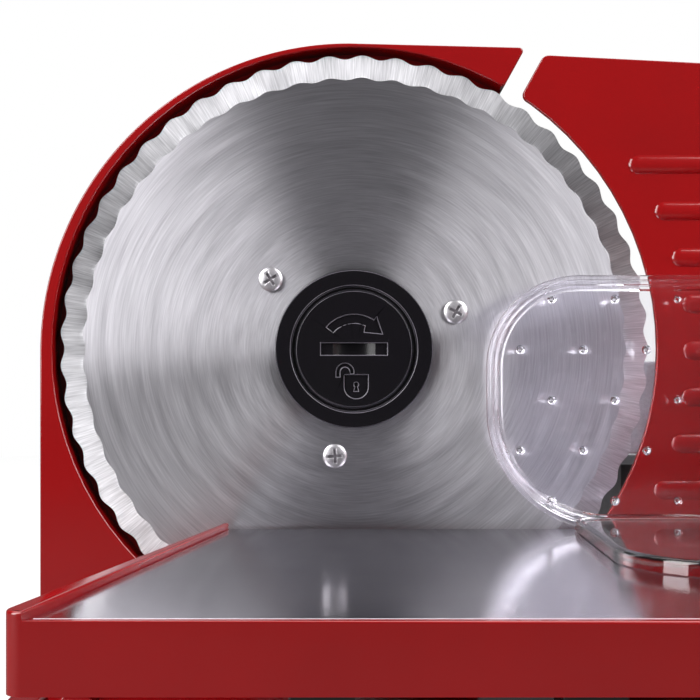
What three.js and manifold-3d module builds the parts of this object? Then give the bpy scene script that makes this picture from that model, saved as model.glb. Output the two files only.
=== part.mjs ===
// A home electric food slicer: a toothed round blade on a motor tower, a carriage that slides past it,
// a clear pusher on the carriage and a plate that sets the thickness of the slice.
// Millimetres. X runs along the carriage's travel, Y to the back and Z up. The blade turns about Y.
import * as THREE from "three";
import { mergeVertices } from "three/addons/utils/BufferGeometryUtils.js";
import Module from "manifold-3d";

const wasm = await Module();
wasm.setup();

// ---- Fits -------------------------------------------------------------------------------------
const SEAT_GAP = 0.3; // between two pieces that rest on each other
const RUNNING_GAP = 0.35; // around a shaft or rod that turns or slides

// ---- Blade and hub ----------------------------------------------------------------------------
const BLADE_RADIUS = 95; // to the tips of the scallops
const BLADE_THICKNESS = 1.2;
const SCALLOP_COUNT = 53;
const SCALLOP_DEPTH = 1.1;
const HUB_RADIUS = 25.3;
const HUB_PROUD = 2.5; // how far the hub's ring stands out of the blade
const HUB_FLANGE_RADIUS = 42;
const HUB_FLANGE_THICKNESS = 4;
const HUB_BOSS_RADIUS = 16;
const HUB_BOSS_LENGTH = 2.6;
const LOCK_RADIUS = 18.6;
const LOCK_THICKNESS = 4;
const LOCK_SUNK = 0.3;
const COIN_SLOT = { length: 21.5, width: 4, depth: 1.8 };
const BLADE_SCREW_CIRCLE = 35;
const BLADE_SCREW_HEAD_RADIUS = 3.9;
const BLADE_SCREW_HEAD_HEIGHT = 1.2;
const BLADE_SCREW_RADIUS = 1.9;
const BLADE_SCREW_COUNT = 3;
const BLADE_SCREW_START = 20; // degrees above +X

// ---- Drive ------------------------------------------------------------------------------------
const SPINDLE_RADIUS = 6;
const SPINDLE_END = 67;
const BUSH_RADIUS = 12;
const FRONT_BUSH_LENGTH = 11;
const REAR_BUSH_LENGTH = 8;
const WHEEL_RADIUS = 34;
const WHEEL_TOOTH_DEPTH = 3;
const WHEEL_TEETH = 40;
const WHEEL_WIDTH = 12;
const WHEEL_MIDDLE = 46; // how far the worm wheel's middle lies behind the blade
const WORM_RADIUS = 7;
const WORM_THREAD_DEPTH = 2;
const WORM_LENGTH = 24;
const WORM_TURNS = 4;
const TOOTH_CLEARANCE = 0.5;
const MOTOR_SHAFT_RADIUS = 4;
const MOTOR_BEARING_RADIUS = 9;
const MOTOR_BEARING_LENGTH = 8;
const MOTOR_BEARING_STEP = 6; // between the worm's end and the bearing beside it
const STATOR_SIDE = 50;
const STATOR_HEIGHT = 30;
const MOTOR_FOOT = 2; // between the tower's floor and the motor's lower bearing
const BEARING_STEP = 2; // between the lower bearing and the commutator
const ARMATURE_RADIUS = 16.5;
const ARMATURE_AIR_GAP = 1;
const COMMUTATOR_RADIUS = 11;
const COMMUTATOR_HEIGHT = 12;
const COMMUTATOR_STEP = 5; // between the commutator and the armature
const FAN_RADIUS = 18;
const FAN_BLADES = 8;
const FAN_HEIGHT = 7;
const FAN_STEP = 4; // between the stator and the fan
const BRUSH_SIDE = 6;
const BRUSH_LENGTH = 9;
const BRACKET_THICKNESS = 4;
const BRACKET_WIDTH = 24;
const BRACKET_CLEARANCE = 3; // to the stator's side
const ARM_PAST_BEARING = 1.5;
const BRIDGE_THICKNESS = 2.5;
const BRIDGE_WIDTH = 28;
const BRIDGE_CLEARANCE = 3; // around the worm wheel

// ---- Tower ------------------------------------------------------------------------------------
const HOUSING_PROUD = 2; // the tower's front face stands in front of the blade
const RECESS_GAP = 2; // around the blade
const RIM_WIDTH = 2.3; // tower rim outside the recess
const ARC_SHIFT = { x: -1.5, z: -1 }; // the outer arc's centre, seen from the blade's axis
const RECESS_DEPTH = 11;
const HOUSING_WALL = 2.6;
const SEAM_BEHIND_BLADE = 34;
const TOWER_BACK = 76;
const WHEEL_TO_WALL = 3.4; // between the worm wheel and the tower's right wall
const TOWER_TOP_FALL = 0.025; // slope of the top edge, to the right of the arc
const ARCH_END = 60.2; // degrees above +X, where the arch stops on the recess
const ARCH_SLANT = 7; // how far the arch's tip reaches past its foot
const ARCH_ROOT = 22; // how far the arch runs down the tower's right side
const ARCH_CORNER = 1.2;
const ARCH_DEPTH = 16;
const VENT_COUNT = 7;
const VENT_LENGTH = 46;
const VENT_WIDTH = 3.4;
const VENT_PITCH = 8;
const VENT_MIDDLE = { x: -42, z: -52 };
const COVER_SCREW_HEAD_RADIUS = 3.6;
const COVER_SCREW_HEAD_HEIGHT = 2;
const COVER_SCREW_RADIUS = 1.8;
const COVER_SCREW_LENGTH = 9;
const COVER_SCREW_INSET = 12;

// ---- Base -------------------------------------------------------------------------------------
const BASE_HEIGHT = 39;
const BASE_BELOW_BLADE = 8; // free height between the blade and the base
const BASE_RIGHT = 166;
const BASE_FRONT = -118;
const BASE_BEHIND_TOWER = 4;
const BASE_CORNER = 12;
const BASE_WALL = 2.8;
const FOOT_HEIGHT = 8;
const FOOT_RADIUS = 14;
const FOOT_NECK_RADIUS = 8;
const FOOT_INSET = 20;
const BOTTOM_PLATE_THICKNESS = 2;
const RAIL_RADIUS = 4;
const RAIL_ABOVE_BASE = 11;
const FRONT_RAIL_Y = -98;
const REAR_RAIL_Y = -32;
const RAIL_INSET_LEFT = 15; // from the base's left face to the rail's end
const RAIL_INSET_RIGHT = 6;
const RAIL_POST = { length: 9, width: 14, above_rail: 6 };
const CORD_INLET_RADIUS = 8;
const CORD_INLET_BORE = 3.8;
const CORD_INLET_COLLAR = 3;
const CORD_INLET_X = -70;
const CORD_INLET_HEIGHT = 28;
const SWITCH_X = 118;
const SWITCH_HEIGHT = 28;
const SWITCH_WIDTH = 17;
const SWITCH_TALL = 25;
const SWITCH_BEZEL = 2;
const SWITCH_FRAME = 2.4;
const SWITCH_DEPTH = 14;
const ROCKER_GAP = 0.9;
const ROCKER_DEPTH = 6;
const ROCKER_PROUD = 2.4;
const ROCKER_TILT = 8; // degrees, at rest

// ---- Thickness plate --------------------------------------------------------------------------
const PLATE_GAP = 2.7; // around the blade
const PLATE_THICKNESS = 2.5;
const PLATE_SLANT_GAP = 6.2; // across the slanting gap between the plate and the arch
const PLATE_TOP_DROP = 1.9; // how far the plate's tip lies below the arch's tip
const PLATE_TOP_FALL = 0.05; // the top edge's slope
const PLATE_CORNER = 3;
const PLATE_RIGHT = 160;
const PLATE_BOTTOM = -70; // measured from the blade's axis
const PLATE_TRAVEL = 15;
const PLATE_RIB_PITCH = 15;
const PLATE_RIB_COUNT = 8;
const PLATE_TOP_RIB = 59.5; // measured from the blade's axis
const PLATE_RIB_WIDTH = 6;
const PLATE_RIB_HEIGHT = 1;
const PLATE_RIB_MARGIN = 9; // between the plate's round edge and the ribs' ends
const PLATE_RIB_END = 106;
const CARRIER_THICKNESS = 12;
const CARRIER_TOP = -4;
const CARRIER_STEP = -34;
const CARRIER_BOTTOM = -84;
const CARRIER_BEHIND_BLADE = 7; // how far the bar reaches behind the blade's edge
const CARRIER_LEG_INSET = 15; // from the bar's left end to the leg
const CARRIER_LEG_WIDTH = 48;
const GUIDE_TOP = -40;
const GUIDE_BEHIND_BLADE = 2;
const GUIDE_MARGIN = 5; // right of the leg
const GUIDE_LENGTH = 40;
const GUIDE_CLEARANCE = 3; // behind the carrier when the plate is fully back
const GUIDE_ROD_RADIUS = 4;
const GUIDE_ROD_SPACING = 30;
const GUIDE_ROD_HEIGHT = -68; // measured from the blade's axis
const ROD_SOCKET_DEPTH = 8; // in the carrier
const PLATE_SCREW_RADIUS = 3;
const PLATE_SCREW_PAST_GUIDE = 1; // how far the screw reaches into the dial at rest
const DIAL_RADIUS = 20;
const DIAL_LENGTH = 19;
const DIAL_FLUTES = 16;
const DIAL_FLUTE_DEPTH = 1.2;

// ---- Carriage ---------------------------------------------------------------------------------
const TRAY_BELOW_AXIS = 57.5;
const TRAY_BACK = -3.2;
const TRAY_FRONT = -143;
const TRAY_RIGHT = 152;
const TRAY_LIP = 2.7; // the frame's front edge, in front of the steel
const TRAY_LEFT_AT_BACK = -39.6; // the steel's left edge where it meets the blade
const TRAY_SPLAY = 0.2193; // how much the left edge runs outward for each millimetre forward
const RIM_HEIGHT = 2;
const RIM_WIDTH_BACK = 1.9;
const RIM_WIDTH_FRONT = 5.5;
const FRAME_HEIGHT = 16;
const FRAME_WALL = 2.5;
const FRAME_CORNER = 4;
const STEEL_THICKNESS = 1.2;
const SHOE_LENGTH = 16;
const SHOE_WIDTH = 14;
const SHOE_BELOW_RAIL = 7;
const LEFT_SHOE_X = -8;
const RIGHT_SHOE_X = 58;
const END_WALL_THICKNESS = 4;
const END_WALL_INSET = 6; // from the frame's right side to the wall's inner face
const END_WALL_HEIGHT = 84;
const END_WALL_FRONT = -130;
const END_WALL_BACK = -13;
const END_WALL_CORNER = 16;
const PUSHER_SLOT_HEIGHT = 42; // above the tray
const PUSHER_TRAVEL = 45;

// ---- Pusher -----------------------------------------------------------------------------------
const PUSHER_LEFT = 42;
const PUSHER_SIDE_CLEARANCE = 3; // to the carriage's end wall
const PUSHER_HEIGHT = 80.5;
const PUSHER_THICKNESS = 3;
const PUSHER_BACK = -6.5;
const PUSHER_TOP_CORNER = 29;
const PUSHER_BOTTOM_CORNER = 38;
const PUSHER_FOOT_LEFT = 70;
const PUSHER_FOOT_FRONT = -95;
const PUSHER_FOOT_CORNER = 30;
const PUSHER_FOOT_THICKNESS = 4;
const PUSHER_SIDE_THICKNESS = 4;
const STUD_PITCH_X = 20;
const STUD_PITCH_Z = 16;
const STUD_ROWS = 5;
const STUD_FIRST = { x: 62.8, z: 73.3 }; // the upper left stud, z above the tray
const STUD_RADIUS = 1.7;
const STUD_HEIGHT = 2.4;
const STUD_MARGIN = 7; // to the pusher's right side
const PUSHER_BOLT_RADIUS = 3;
const PUSHER_BOLT_BACK = 30; // the bolt's place in front of the blade
const GRIP_RADIUS = 13;
const GRIP_LENGTH = 18;

// ---- Colours ----------------------------------------------------------------------------------
const paint = (color, roughness, metalness = 0) => () => {
  return new THREE.MeshStandardMaterial({ color, roughness, metalness });
};
const red = paint(0x9b1616, 0.3);
const black = paint(0x1e1c20, 0.45);
const steel = paint(0xb9b8be, 0.3, 1);
const grey = paint(0xa9aaad, 0.45, 0.6);
const bronze = paint(0xa8743a, 0.4, 1);
const copper = paint(0x9c5b35, 0.4, 1);
const rubber = paint(0x242424, 0.85);
const nylon = paint(0xd8d5c8, 0.6);
const clear = () => {
  return new THREE.MeshStandardMaterial({
    color: 0xe8eef2,
    roughness: 0.1,
    transparent: true,
    opacity: 0.35,
  });
};

// ---- Spans ------------------------------------------------------------------------------------

function spanFrom(start, length) {
  return [start, start + length];
}

// A cutter's span, which runs a millimetre past both faces.
function past([from, to]) {
  return [from - 1, to + 1];
}

// ---- Solids -----------------------------------------------------------------------------------

// A closed geometry as a solid that can be cut and joined.
function solid(geometry) {
  const bare = new THREE.BufferGeometry();
  bare.setAttribute("position", geometry.getAttribute("position"));
  bare.setIndex(geometry.index);
  const merged = mergeVertices(bare, 1e-4);
  const made = new wasm.Manifold(
    new wasm.Mesh({
      numProp: 3,
      vertProperties: merged.attributes.position.array,
      triVerts: new Uint32Array(merged.index.array),
    }),
  );
  if (made.volume() < 0) {
    throw new Error("a geometry is inside out");
  }
  return made;
}

// A named mesh of a solid.
function part(name, body, material) {
  const data = body.getMesh();
  const geometry = new THREE.BufferGeometry();
  geometry.setAttribute("position", new THREE.BufferAttribute(data.vertProperties, 3));
  geometry.setIndex(new THREE.BufferAttribute(data.triVerts, 1));
  geometry.computeVertexNormals();
  const mesh = new THREE.Mesh(geometry, material());
  mesh.name = name;
  return mesh;
}

// A box between two limits along each axis.
function block([x0, x1], [y0, y1], [z0, z1]) {
  const geometry = new THREE.BoxGeometry(x1 - x0, y1 - y0, z1 - z0);
  geometry.translate((x0 + x1) / 2, (y0 + y1) / 2, (z0 + z1) / 2);
  return solid(geometry);
}

// Round bars along X, Y or Z, between two limits, centred on the two other coordinates.
function barX(radius, [from, to], y, z, sides = 20) {
  const geometry = new THREE.CylinderGeometry(radius, radius, to - from, sides);
  geometry.rotateZ(-Math.PI / 2);
  geometry.translate((from + to) / 2, y, z);
  return solid(geometry);
}

function barY(radius, [from, to], x = 0, z = 0, sides = 20) {
  const geometry = new THREE.CylinderGeometry(radius, radius, to - from, sides);
  geometry.translate(x, (from + to) / 2, z);
  return solid(geometry);
}

function barZ(radius, [from, to], x, y, sides = 20) {
  const geometry = new THREE.CylinderGeometry(radius, radius, to - from, sides);
  geometry.rotateX(Math.PI / 2);
  geometry.translate(x, y, (from + to) / 2);
  return solid(geometry);
}

// An outline extruded along Y: its own x and y are X and Z.
function upright(outline, [from, to], curveSegments = 6) {
  const geometry = extruded(outline, to - from, curveSegments);
  const basis = new THREE.Matrix4().makeBasis(
    new THREE.Vector3(1, 0, 0),
    new THREE.Vector3(0, 0, 1),
    new THREE.Vector3(0, -1, 0),
  );
  geometry.applyMatrix4(basis);
  geometry.translate(0, to, 0);
  return solid(geometry);
}

// An outline extruded along Z: its own x and y are X and Y.
function flat(outline, [from, to], curveSegments = 5) {
  const geometry = extruded(outline, to - from, curveSegments);
  geometry.translate(0, 0, from);
  return solid(geometry);
}

// An outline extruded along X: its own x and y are Y and Z.
function sideways(outline, [from, to], curveSegments = 6) {
  const geometry = extruded(outline, to - from, curveSegments);
  const basis = new THREE.Matrix4().makeBasis(
    new THREE.Vector3(0, 1, 0),
    new THREE.Vector3(0, 0, 1),
    new THREE.Vector3(1, 0, 0),
  );
  geometry.applyMatrix4(basis);
  geometry.translate(from, 0, 0);
  return solid(geometry);
}

function extruded(outline, depth, curveSegments) {
  return new THREE.ExtrudeGeometry(outline, { depth, bevelEnabled: false, curveSegments });
}

// A profile of [radius, height] points turned about an upright axis. It runs upward on its outside.
function turned(profile, sides) {
  const points = profile.map(([radius, height]) => new THREE.Vector2(radius, height));
  return new THREE.LatheGeometry(points, sides);
}

// ---- Outlines ---------------------------------------------------------------------------------

// A polygon whose corners are rounded: each point is [x, y, radius], and no radius is a sharp corner.
function rounded(points) {
  const outline = new THREE.Shape();
  points.forEach(([x, y, radius = 0], i) => {
    const corner = new THREE.Vector2(x, y);
    const before = new THREE.Vector2(...points.at(i - 1).slice(0, 2)).sub(corner).normalize();
    const after = new THREE.Vector2(...points[(i + 1) % points.length].slice(0, 2)).sub(corner).normalize();
    const half = Math.acos(before.dot(after)) / 2;
    const reach = radius / Math.tan(half);
    const start = corner.clone().addScaledVector(before, reach);
    const end = corner.clone().addScaledVector(after, reach);
    if (i === 0) {
      outline.moveTo(start.x, start.y);
    } else {
      outline.lineTo(start.x, start.y);
    }
    if (radius > 0) {
      const middle = before.clone().add(after).normalize();
      const centre = corner.clone().addScaledVector(middle, radius / Math.sin(half));
      const from = Math.atan2(start.y - centre.y, start.x - centre.x);
      const to = Math.atan2(end.y - centre.y, end.x - centre.x);
      const turn = Math.sin(to - from);
      outline.absarc(centre.x, centre.y, radius, from, to, turn < 0);
    }
  });
  outline.closePath();
  return outline;
}

function rectangle([x0, x1], [y0, y1], radius = 0) {
  return rounded([
    [x0, y0, radius],
    [x1, y0, radius],
    [x1, y1, radius],
    [x0, y1, radius],
  ]);
}

// A toothed wheel's outline: each tooth has a flat tip and sloping flanks.
function gearOutline(teeth, tipRadius, rootRadius) {
  const points = [];
  for (let tooth = 0; tooth < teeth; tooth += 1) {
    const corners = [
      [0.0, rootRadius],
      [0.22, rootRadius],
      [0.38, tipRadius],
      [0.84, tipRadius],
    ];
    for (const [share, radius] of corners) {
      const angle = (2 * Math.PI * (tooth + share)) / teeth;
      points.push(new THREE.Vector2(radius * Math.cos(angle), radius * Math.sin(angle)));
    }
  }
  return new THREE.Shape(points);
}

// The blade's wavy edge.
function bladeOutline() {
  const pointsPerScallop = 4;
  const count = SCALLOP_COUNT * pointsPerScallop;
  const points = [];
  for (let i = 0; i < count; i += 1) {
    const angle = (2 * Math.PI * i) / count;
    const wave = (1 + Math.cos(SCALLOP_COUNT * angle)) / 2;
    const radius = BLADE_RADIUS - SCALLOP_DEPTH * (1 - wave);
    points.push(new THREE.Vector2(radius * Math.cos(angle), radius * Math.sin(angle)));
  }
  return new THREE.Shape(points);
}

// ---- Places that several pieces share ----------------------------------------------------------

// A point in the blade's plane, at an angle in degrees above +X.
function pointAt(radius, degrees) {
  const angle = THREE.MathUtils.degToRad(degrees);
  return { x: radius * Math.cos(angle), z: radius * Math.sin(angle) };
}


// The height of the tower's top edge, right of the arc, above the blade's axis.
function towerTopAt(x) {
  return ARC_SHIFT.z + arcRadius - TOWER_TOP_FALL * (x - ARC_SHIFT.x);
}

const baseTop = FOOT_HEIGHT + BASE_HEIGHT;
const axisHeight = baseTop + BASE_BELOW_BLADE + BLADE_RADIUS;
const trayTop = axisHeight - TRAY_BELOW_AXIS;
const recessRadius = BLADE_RADIUS + RECESS_GAP;
const arcRadius = recessRadius + RIM_WIDTH;
const towerLeft = ARC_SHIFT.x - arcRadius;
const towerRight = WHEEL_RADIUS + WHEEL_TO_WALL + HOUSING_WALL;
const towerFront = -HOUSING_PROUD;
const recessFloor = towerFront + RECESS_DEPTH;
const cavityFront = recessFloor + HOUSING_WALL;
const towerBottom = baseTop + SEAT_GAP - axisHeight;
const archFoot = pointAt(recessRadius, ARCH_END);
const archTip = { x: archFoot.x + ARCH_SLANT, z: towerTopAt(archFoot.x + ARCH_SLANT) };
const baseBack = TOWER_BACK + BASE_BEHIND_TOWER;
const railSpan = [towerLeft + RAIL_INSET_LEFT, BASE_RIGHT - RAIL_INSET_RIGHT];
const wormX = -(WHEEL_RADIUS + WORM_RADIUS + TOOTH_CLEARANCE);
const wheelSpan = spanFrom(WHEEL_MIDDLE - WHEEL_WIDTH / 2, WHEEL_WIDTH);
const bladeBack = BLADE_THICKNESS;
const flangeFront = bladeBack + SEAT_GAP;
const flangeBack = flangeFront + HUB_FLANGE_THICKNESS;
const hubBack = flangeBack + HUB_BOSS_LENGTH;
const lockBack = -HUB_PROUD + LOCK_SUNK + LOCK_THICKNESS;
const wormEnd = WORM_LENGTH / 2;
const topBearing = spanFrom(wormEnd + MOTOR_BEARING_STEP, MOTOR_BEARING_LENGTH);
const middleBearing = [-topBearing[1], -topBearing[0]];
const lowerBearing = spanFrom(towerBottom + HOUSING_WALL + MOTOR_FOOT, MOTOR_BEARING_LENGTH);
const commutator = spanFrom(lowerBearing[1] + BEARING_STEP, COMMUTATOR_HEIGHT);
const stator = spanFrom(commutator[1] + COMMUTATOR_STEP, STATOR_HEIGHT);
const bearingSpans = { lower: lowerBearing, middle: middleBearing, top: topBearing };
const plateEdge = BLADE_RADIUS + PLATE_GAP;
const plateTip = { x: archTip.x + PLATE_SLANT_GAP, z: archTip.z - PLATE_TOP_DROP };
const carrierLeft = BLADE_RADIUS - CARRIER_BEHIND_BLADE;
const carrierLeg = spanFrom(carrierLeft + CARRIER_LEG_INSET, CARRIER_LEG_WIDTH);
const carrierFront = PLATE_THICKNESS + SEAT_GAP;
const carrierBack = carrierFront + CARRIER_THICKNESS;
const guideFront = carrierBack + PLATE_TRAVEL + GUIDE_CLEARANCE;
const guideBack = guideFront + GUIDE_LENGTH;
const guideMiddle = (carrierLeg[0] + carrierLeg[1]) / 2;
const guideRodX = {
  left: guideMiddle - GUIDE_ROD_SPACING / 2,
  right: guideMiddle + GUIDE_ROD_SPACING / 2,
};
const railHeight = baseTop + RAIL_ABOVE_BASE;
const steelBottom = trayTop - STEEL_THICKNESS;
const frameTopUnderSteel = steelBottom - SEAT_GAP;
const frameInside = frameTopUnderSteel - FRAME_WALL;
const endWall = spanFrom(TRAY_RIGHT - END_WALL_INSET, END_WALL_THICKNESS);
const pusherRight = endWall[0] - PUSHER_SIDE_CLEARANCE;
const pusherSide = [pusherRight - PUSHER_SIDE_THICKNESS, pusherRight];
const gripStart = endWall[1] + RUNNING_GAP;
const boltHeight = trayTop + PUSHER_SLOT_HEIGHT;
const boltY = -PUSHER_BOLT_BACK;

// ---- Blade group, about the blade's axis --------------------------------------------------------

function bladeScrewPlaces() {
  return Array.from({ length: BLADE_SCREW_COUNT }, (_, i) => {
    return pointAt(BLADE_SCREW_CIRCLE, BLADE_SCREW_START + (360 * i) / BLADE_SCREW_COUNT);
  });
}

function makeBlade() {
  let body = upright(bladeOutline(), [0, bladeBack]);
  body = body.subtract(barY(HUB_RADIUS + SEAT_GAP, past([0, bladeBack]), 0, 0, 36));
  for (const { x, z } of bladeScrewPlaces()) {
    body = body.subtract(barY(BLADE_SCREW_RADIUS + SEAT_GAP, past([0, bladeBack]), x, z, 10));
  }
  return part("blade", body, steel);
}

function makeBladeHub() {
  const bore = SPINDLE_RADIUS + SEAT_GAP;
  const pocketFloor = lockBack + SEAT_GAP;
  const pocket = LOCK_RADIUS + RUNNING_GAP;
  const profile = [
    [pocket, pocketFloor],
    [pocket, -HUB_PROUD],
    [HUB_RADIUS, -HUB_PROUD],
    [HUB_RADIUS, flangeFront],
    [HUB_FLANGE_RADIUS, flangeFront],
    [HUB_FLANGE_RADIUS, flangeBack],
    [HUB_BOSS_RADIUS, flangeBack],
    [HUB_BOSS_RADIUS, hubBack],
    [bore, hubBack],
    [bore, pocketFloor],
    [pocket, pocketFloor],
  ];
  let body = solid(turned(profile, 32));
  for (const { x, z } of bladeScrewPlaces()) {
    body = body.subtract(barY(BLADE_SCREW_RADIUS + SEAT_GAP, [0, hubBack], x, z, 10));
  }
  return part("blade_hub", body, black);
}

function makeBladeScrew(number, { x, z }) {
  const headFront = -SEAT_GAP - BLADE_SCREW_HEAD_HEIGHT;
  const head = barY(BLADE_SCREW_HEAD_RADIUS, [headFront, -SEAT_GAP], x, z, 16);
  const shank = barY(BLADE_SCREW_RADIUS, [headFront + 0.5, flangeBack], x, z, 8);
  return part(`blade_screw_${number}`, head.add(shank), steel);
}

function makeSpindle() {
  return part("spindle", barY(SPINDLE_RADIUS, [lockBack + SEAT_GAP, SPINDLE_END]), steel);
}

function makeWormWheel() {
  const outline = gearOutline(WHEEL_TEETH, WHEEL_RADIUS, WHEEL_RADIUS - WHEEL_TOOTH_DEPTH);
  const bore = barY(SPINDLE_RADIUS + SEAT_GAP, [0, SPINDLE_END]);
  return part("worm_wheel", upright(outline, wheelSpan).subtract(bore), nylon);
}

function makeLockDisc() {
  const front = -HUB_PROUD + LOCK_SUNK;
  const disc = barY(LOCK_RADIUS, [front, lockBack], 0, 0, 32);
  const half = COIN_SLOT.length / 2;
  const slot = block(
    [-half, half],
    [front - 1, front + COIN_SLOT.depth],
    [-COIN_SLOT.width / 2, COIN_SLOT.width / 2],
  );
  return part("lock_disc", disc.subtract(slot), black);
}

function makeBladeGroup() {
  const group = new THREE.Group();
  group.add(makeBlade(), makeBladeHub(), makeSpindle(), makeWormWheel(), makeLockDisc());
  bladeScrewPlaces().forEach((place, i) => group.add(makeBladeScrew(i + 1, place)));
  return group;
}

// ---- Motor group: an upright motor whose worm drives the wheel -----------------------------------

function makeMotorShaft() {
  const span = [lowerBearing[0] - 1, topBearing[1] + 1];
  return part("motor_shaft", barZ(MOTOR_SHAFT_RADIUS, span, wormX, WHEEL_MIDDLE, 12), steel);
}

function makeWorm() {
  const bore = MOTOR_SHAFT_RADIUS + SEAT_GAP;
  const root = WORM_RADIUS - WORM_THREAD_DEPTH;
  const pitch = WORM_LENGTH / WORM_TURNS;
  const profile = [[bore, -wormEnd]];
  for (let turn = 0; turn < WORM_TURNS; turn += 1) {
    const foot = -wormEnd + turn * pitch;
    profile.push([root, foot]);
    profile.push([WORM_RADIUS, foot + pitch * 0.35]);
    profile.push([WORM_RADIUS, foot + pitch * 0.65]);
  }
  profile.push([root, wormEnd], [bore, wormEnd], [bore, -wormEnd]);
  const geometry = turned(profile, 12);
  geometry.rotateX(Math.PI / 2);
  geometry.translate(wormX, WHEEL_MIDDLE, 0);
  return part("worm", solid(geometry), steel);
}

// A round piece on the motor's shaft.
function onShaft(name, radius, span, material, sides = 20) {
  const bore = barZ(MOTOR_SHAFT_RADIUS + SEAT_GAP, past(span), wormX, WHEEL_MIDDLE, 12);
  return part(name, barZ(radius, span, wormX, WHEEL_MIDDLE, sides).subtract(bore), material);
}

function makeMotorFan() {
  const span = spanFrom(stator[1] + FAN_STEP, FAN_HEIGHT);
  const outline = gearOutline(FAN_BLADES, FAN_RADIUS, FAN_RADIUS / 2);
  const bore = barZ(MOTOR_SHAFT_RADIUS + SEAT_GAP, past(span), 0, 0, 12);
  const body = flat(outline, span).subtract(bore);
  return part("motor_fan", body.translate([wormX, WHEEL_MIDDLE, 0]), nylon);
}

function makeStator() {
  const half = STATOR_SIDE / 2;
  const outline = rectangle(
    [wormX - half, wormX + half],
    [WHEEL_MIDDLE - half, WHEEL_MIDDLE + half],
    8,
  );
  const inside = ARMATURE_RADIUS + ARMATURE_AIR_GAP;
  const bore = barZ(inside, past(stator), wormX, WHEEL_MIDDLE);
  return part("motor_stator", flat(outline, stator).subtract(bore), grey);
}

function makeBrush(name, direction) {
  const near = COMMUTATOR_RADIUS + SEAT_GAP;
  const ends = [WHEEL_MIDDLE + direction * near, WHEEL_MIDDLE + direction * (near + BRUSH_LENGTH)];
  const middle = (commutator[0] + commutator[1]) / 2;
  const half = BRUSH_SIDE / 2;
  const body = block(
    [wormX - half, wormX + half],
    [Math.min(...ends), Math.max(...ends)],
    [middle - half, middle + half],
  );
  return part(name, body, copper);
}

function makeMotorBearing(name, span) {
  const bore = MOTOR_SHAFT_RADIUS + RUNNING_GAP;
  const hole = barZ(bore, past(span), wormX, WHEEL_MIDDLE, 12);
  const ring = barZ(MOTOR_BEARING_RADIUS, span, wormX, WHEEL_MIDDLE, 16);
  return part(`motor_bearing_${name}`, ring.subtract(hole), bronze);
}

// The bracket's spine stands beside the stator, and its three arms hold the bearings.
function makeMotorBracket() {
  const depth = spanFrom(WHEEL_MIDDLE - BRACKET_WIDTH / 2, BRACKET_WIDTH);
  const spineRight = wormX - STATOR_SIDE / 2 - BRACKET_CLEARANCE;
  const armEnd = wormX + MOTOR_BEARING_RADIUS + ARM_PAST_BEARING;
  const spine = [spineRight - BRACKET_THICKNESS, spineRight];
  let body = block(spine, depth, [lowerBearing[0], topBearing[1]]);
  for (const span of Object.values(bearingSpans)) {
    const arm = block([spine[0], armEnd], depth, span);
    const seat = MOTOR_BEARING_RADIUS + SEAT_GAP;
    const hole = barZ(seat, past(span), wormX, WHEEL_MIDDLE, 16);
    body = body.add(arm).subtract(hole);
  }
  return part("motor_bracket", body, grey);
}

function makeMotorGroup() {
  const group = new THREE.Group();
  group.add(makeMotorShaft(), makeWorm(), makeMotorFan(), makeStator(), makeMotorBracket());
  group.add(onShaft("armature_core", ARMATURE_RADIUS, stator, grey));
  group.add(onShaft("commutator", COMMUTATOR_RADIUS, commutator, copper, 16));
  group.add(makeBrush("brush_front", -1), makeBrush("brush_rear", 1));
  for (const [name, span] of Object.entries(bearingSpans)) {
    group.add(makeMotorBearing(name, span));
  }
  return group;
}

// ---- Tower group, about the blade's axis ----------------------------------------------------------

// The tower seen from the front, drawn in by a wall's thickness for its inside.
function towerOutline(inset, right) {
  const left = towerLeft + inset;
  const top = ARC_SHIFT.z + arcRadius - inset;
  const bottom = towerBottom + inset;
  const outline = new THREE.Shape();
  outline.moveTo(left, bottom);
  outline.lineTo(right, bottom);
  outline.lineTo(right, towerTopAt(right) - inset);
  outline.lineTo(ARC_SHIFT.x, top);
  outline.absarc(ARC_SHIFT.x, ARC_SHIFT.z, arcRadius - inset, Math.PI / 2, Math.PI, false);
  outline.closePath();
  return outline;
}

// The slanting end of the arch that reaches over the blade.
function archOutline() {
  const root = archFoot.z - ARCH_ROOT;
  return rounded([
    [towerRight - HOUSING_WALL, root],
    [towerRight, root],
    [archFoot.x, archFoot.z, 1],
    [archTip.x, archTip.z, ARCH_CORNER],
    [0, towerTopAt(0)],
    [0, towerTopAt(0) - HOUSING_WALL],
  ]);
}

function makeMainHousing() {
  const seam = SEAM_BEHIND_BLADE;
  const shell = upright(towerOutline(0, towerRight), [towerFront, seam], 36);
  const arch = upright(archOutline(), [towerFront, towerFront + ARCH_DEPTH]);
  const inside = upright(
    towerOutline(HOUSING_WALL, towerRight - HOUSING_WALL),
    [cavityFront, seam + 1],
    16,
  );
  const recess = barY(recessRadius, [towerFront - 1, recessFloor], 0, 0, 80);
  const bore = barY(BUSH_RADIUS + SEAT_GAP, [0, seam]);
  const body = shell.add(arch).subtract(inside).subtract(recess).subtract(bore);
  return part("main_housing", body, red);
}

function coverScrewPlaces() {
  const left = towerLeft + COVER_SCREW_INSET;
  const right = towerRight - COVER_SCREW_INSET;
  const low = towerBottom + COVER_SCREW_INSET;
  const high = arcRadius - 2 * COVER_SCREW_INSET; // on the arc's shoulder and on the right side
  return [
    { x: left, z: low },
    { x: right, z: low },
    { x: -high * Math.SQRT1_2, z: high * Math.SQRT1_2 },
    { x: right, z: high },
  ];
}

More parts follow.
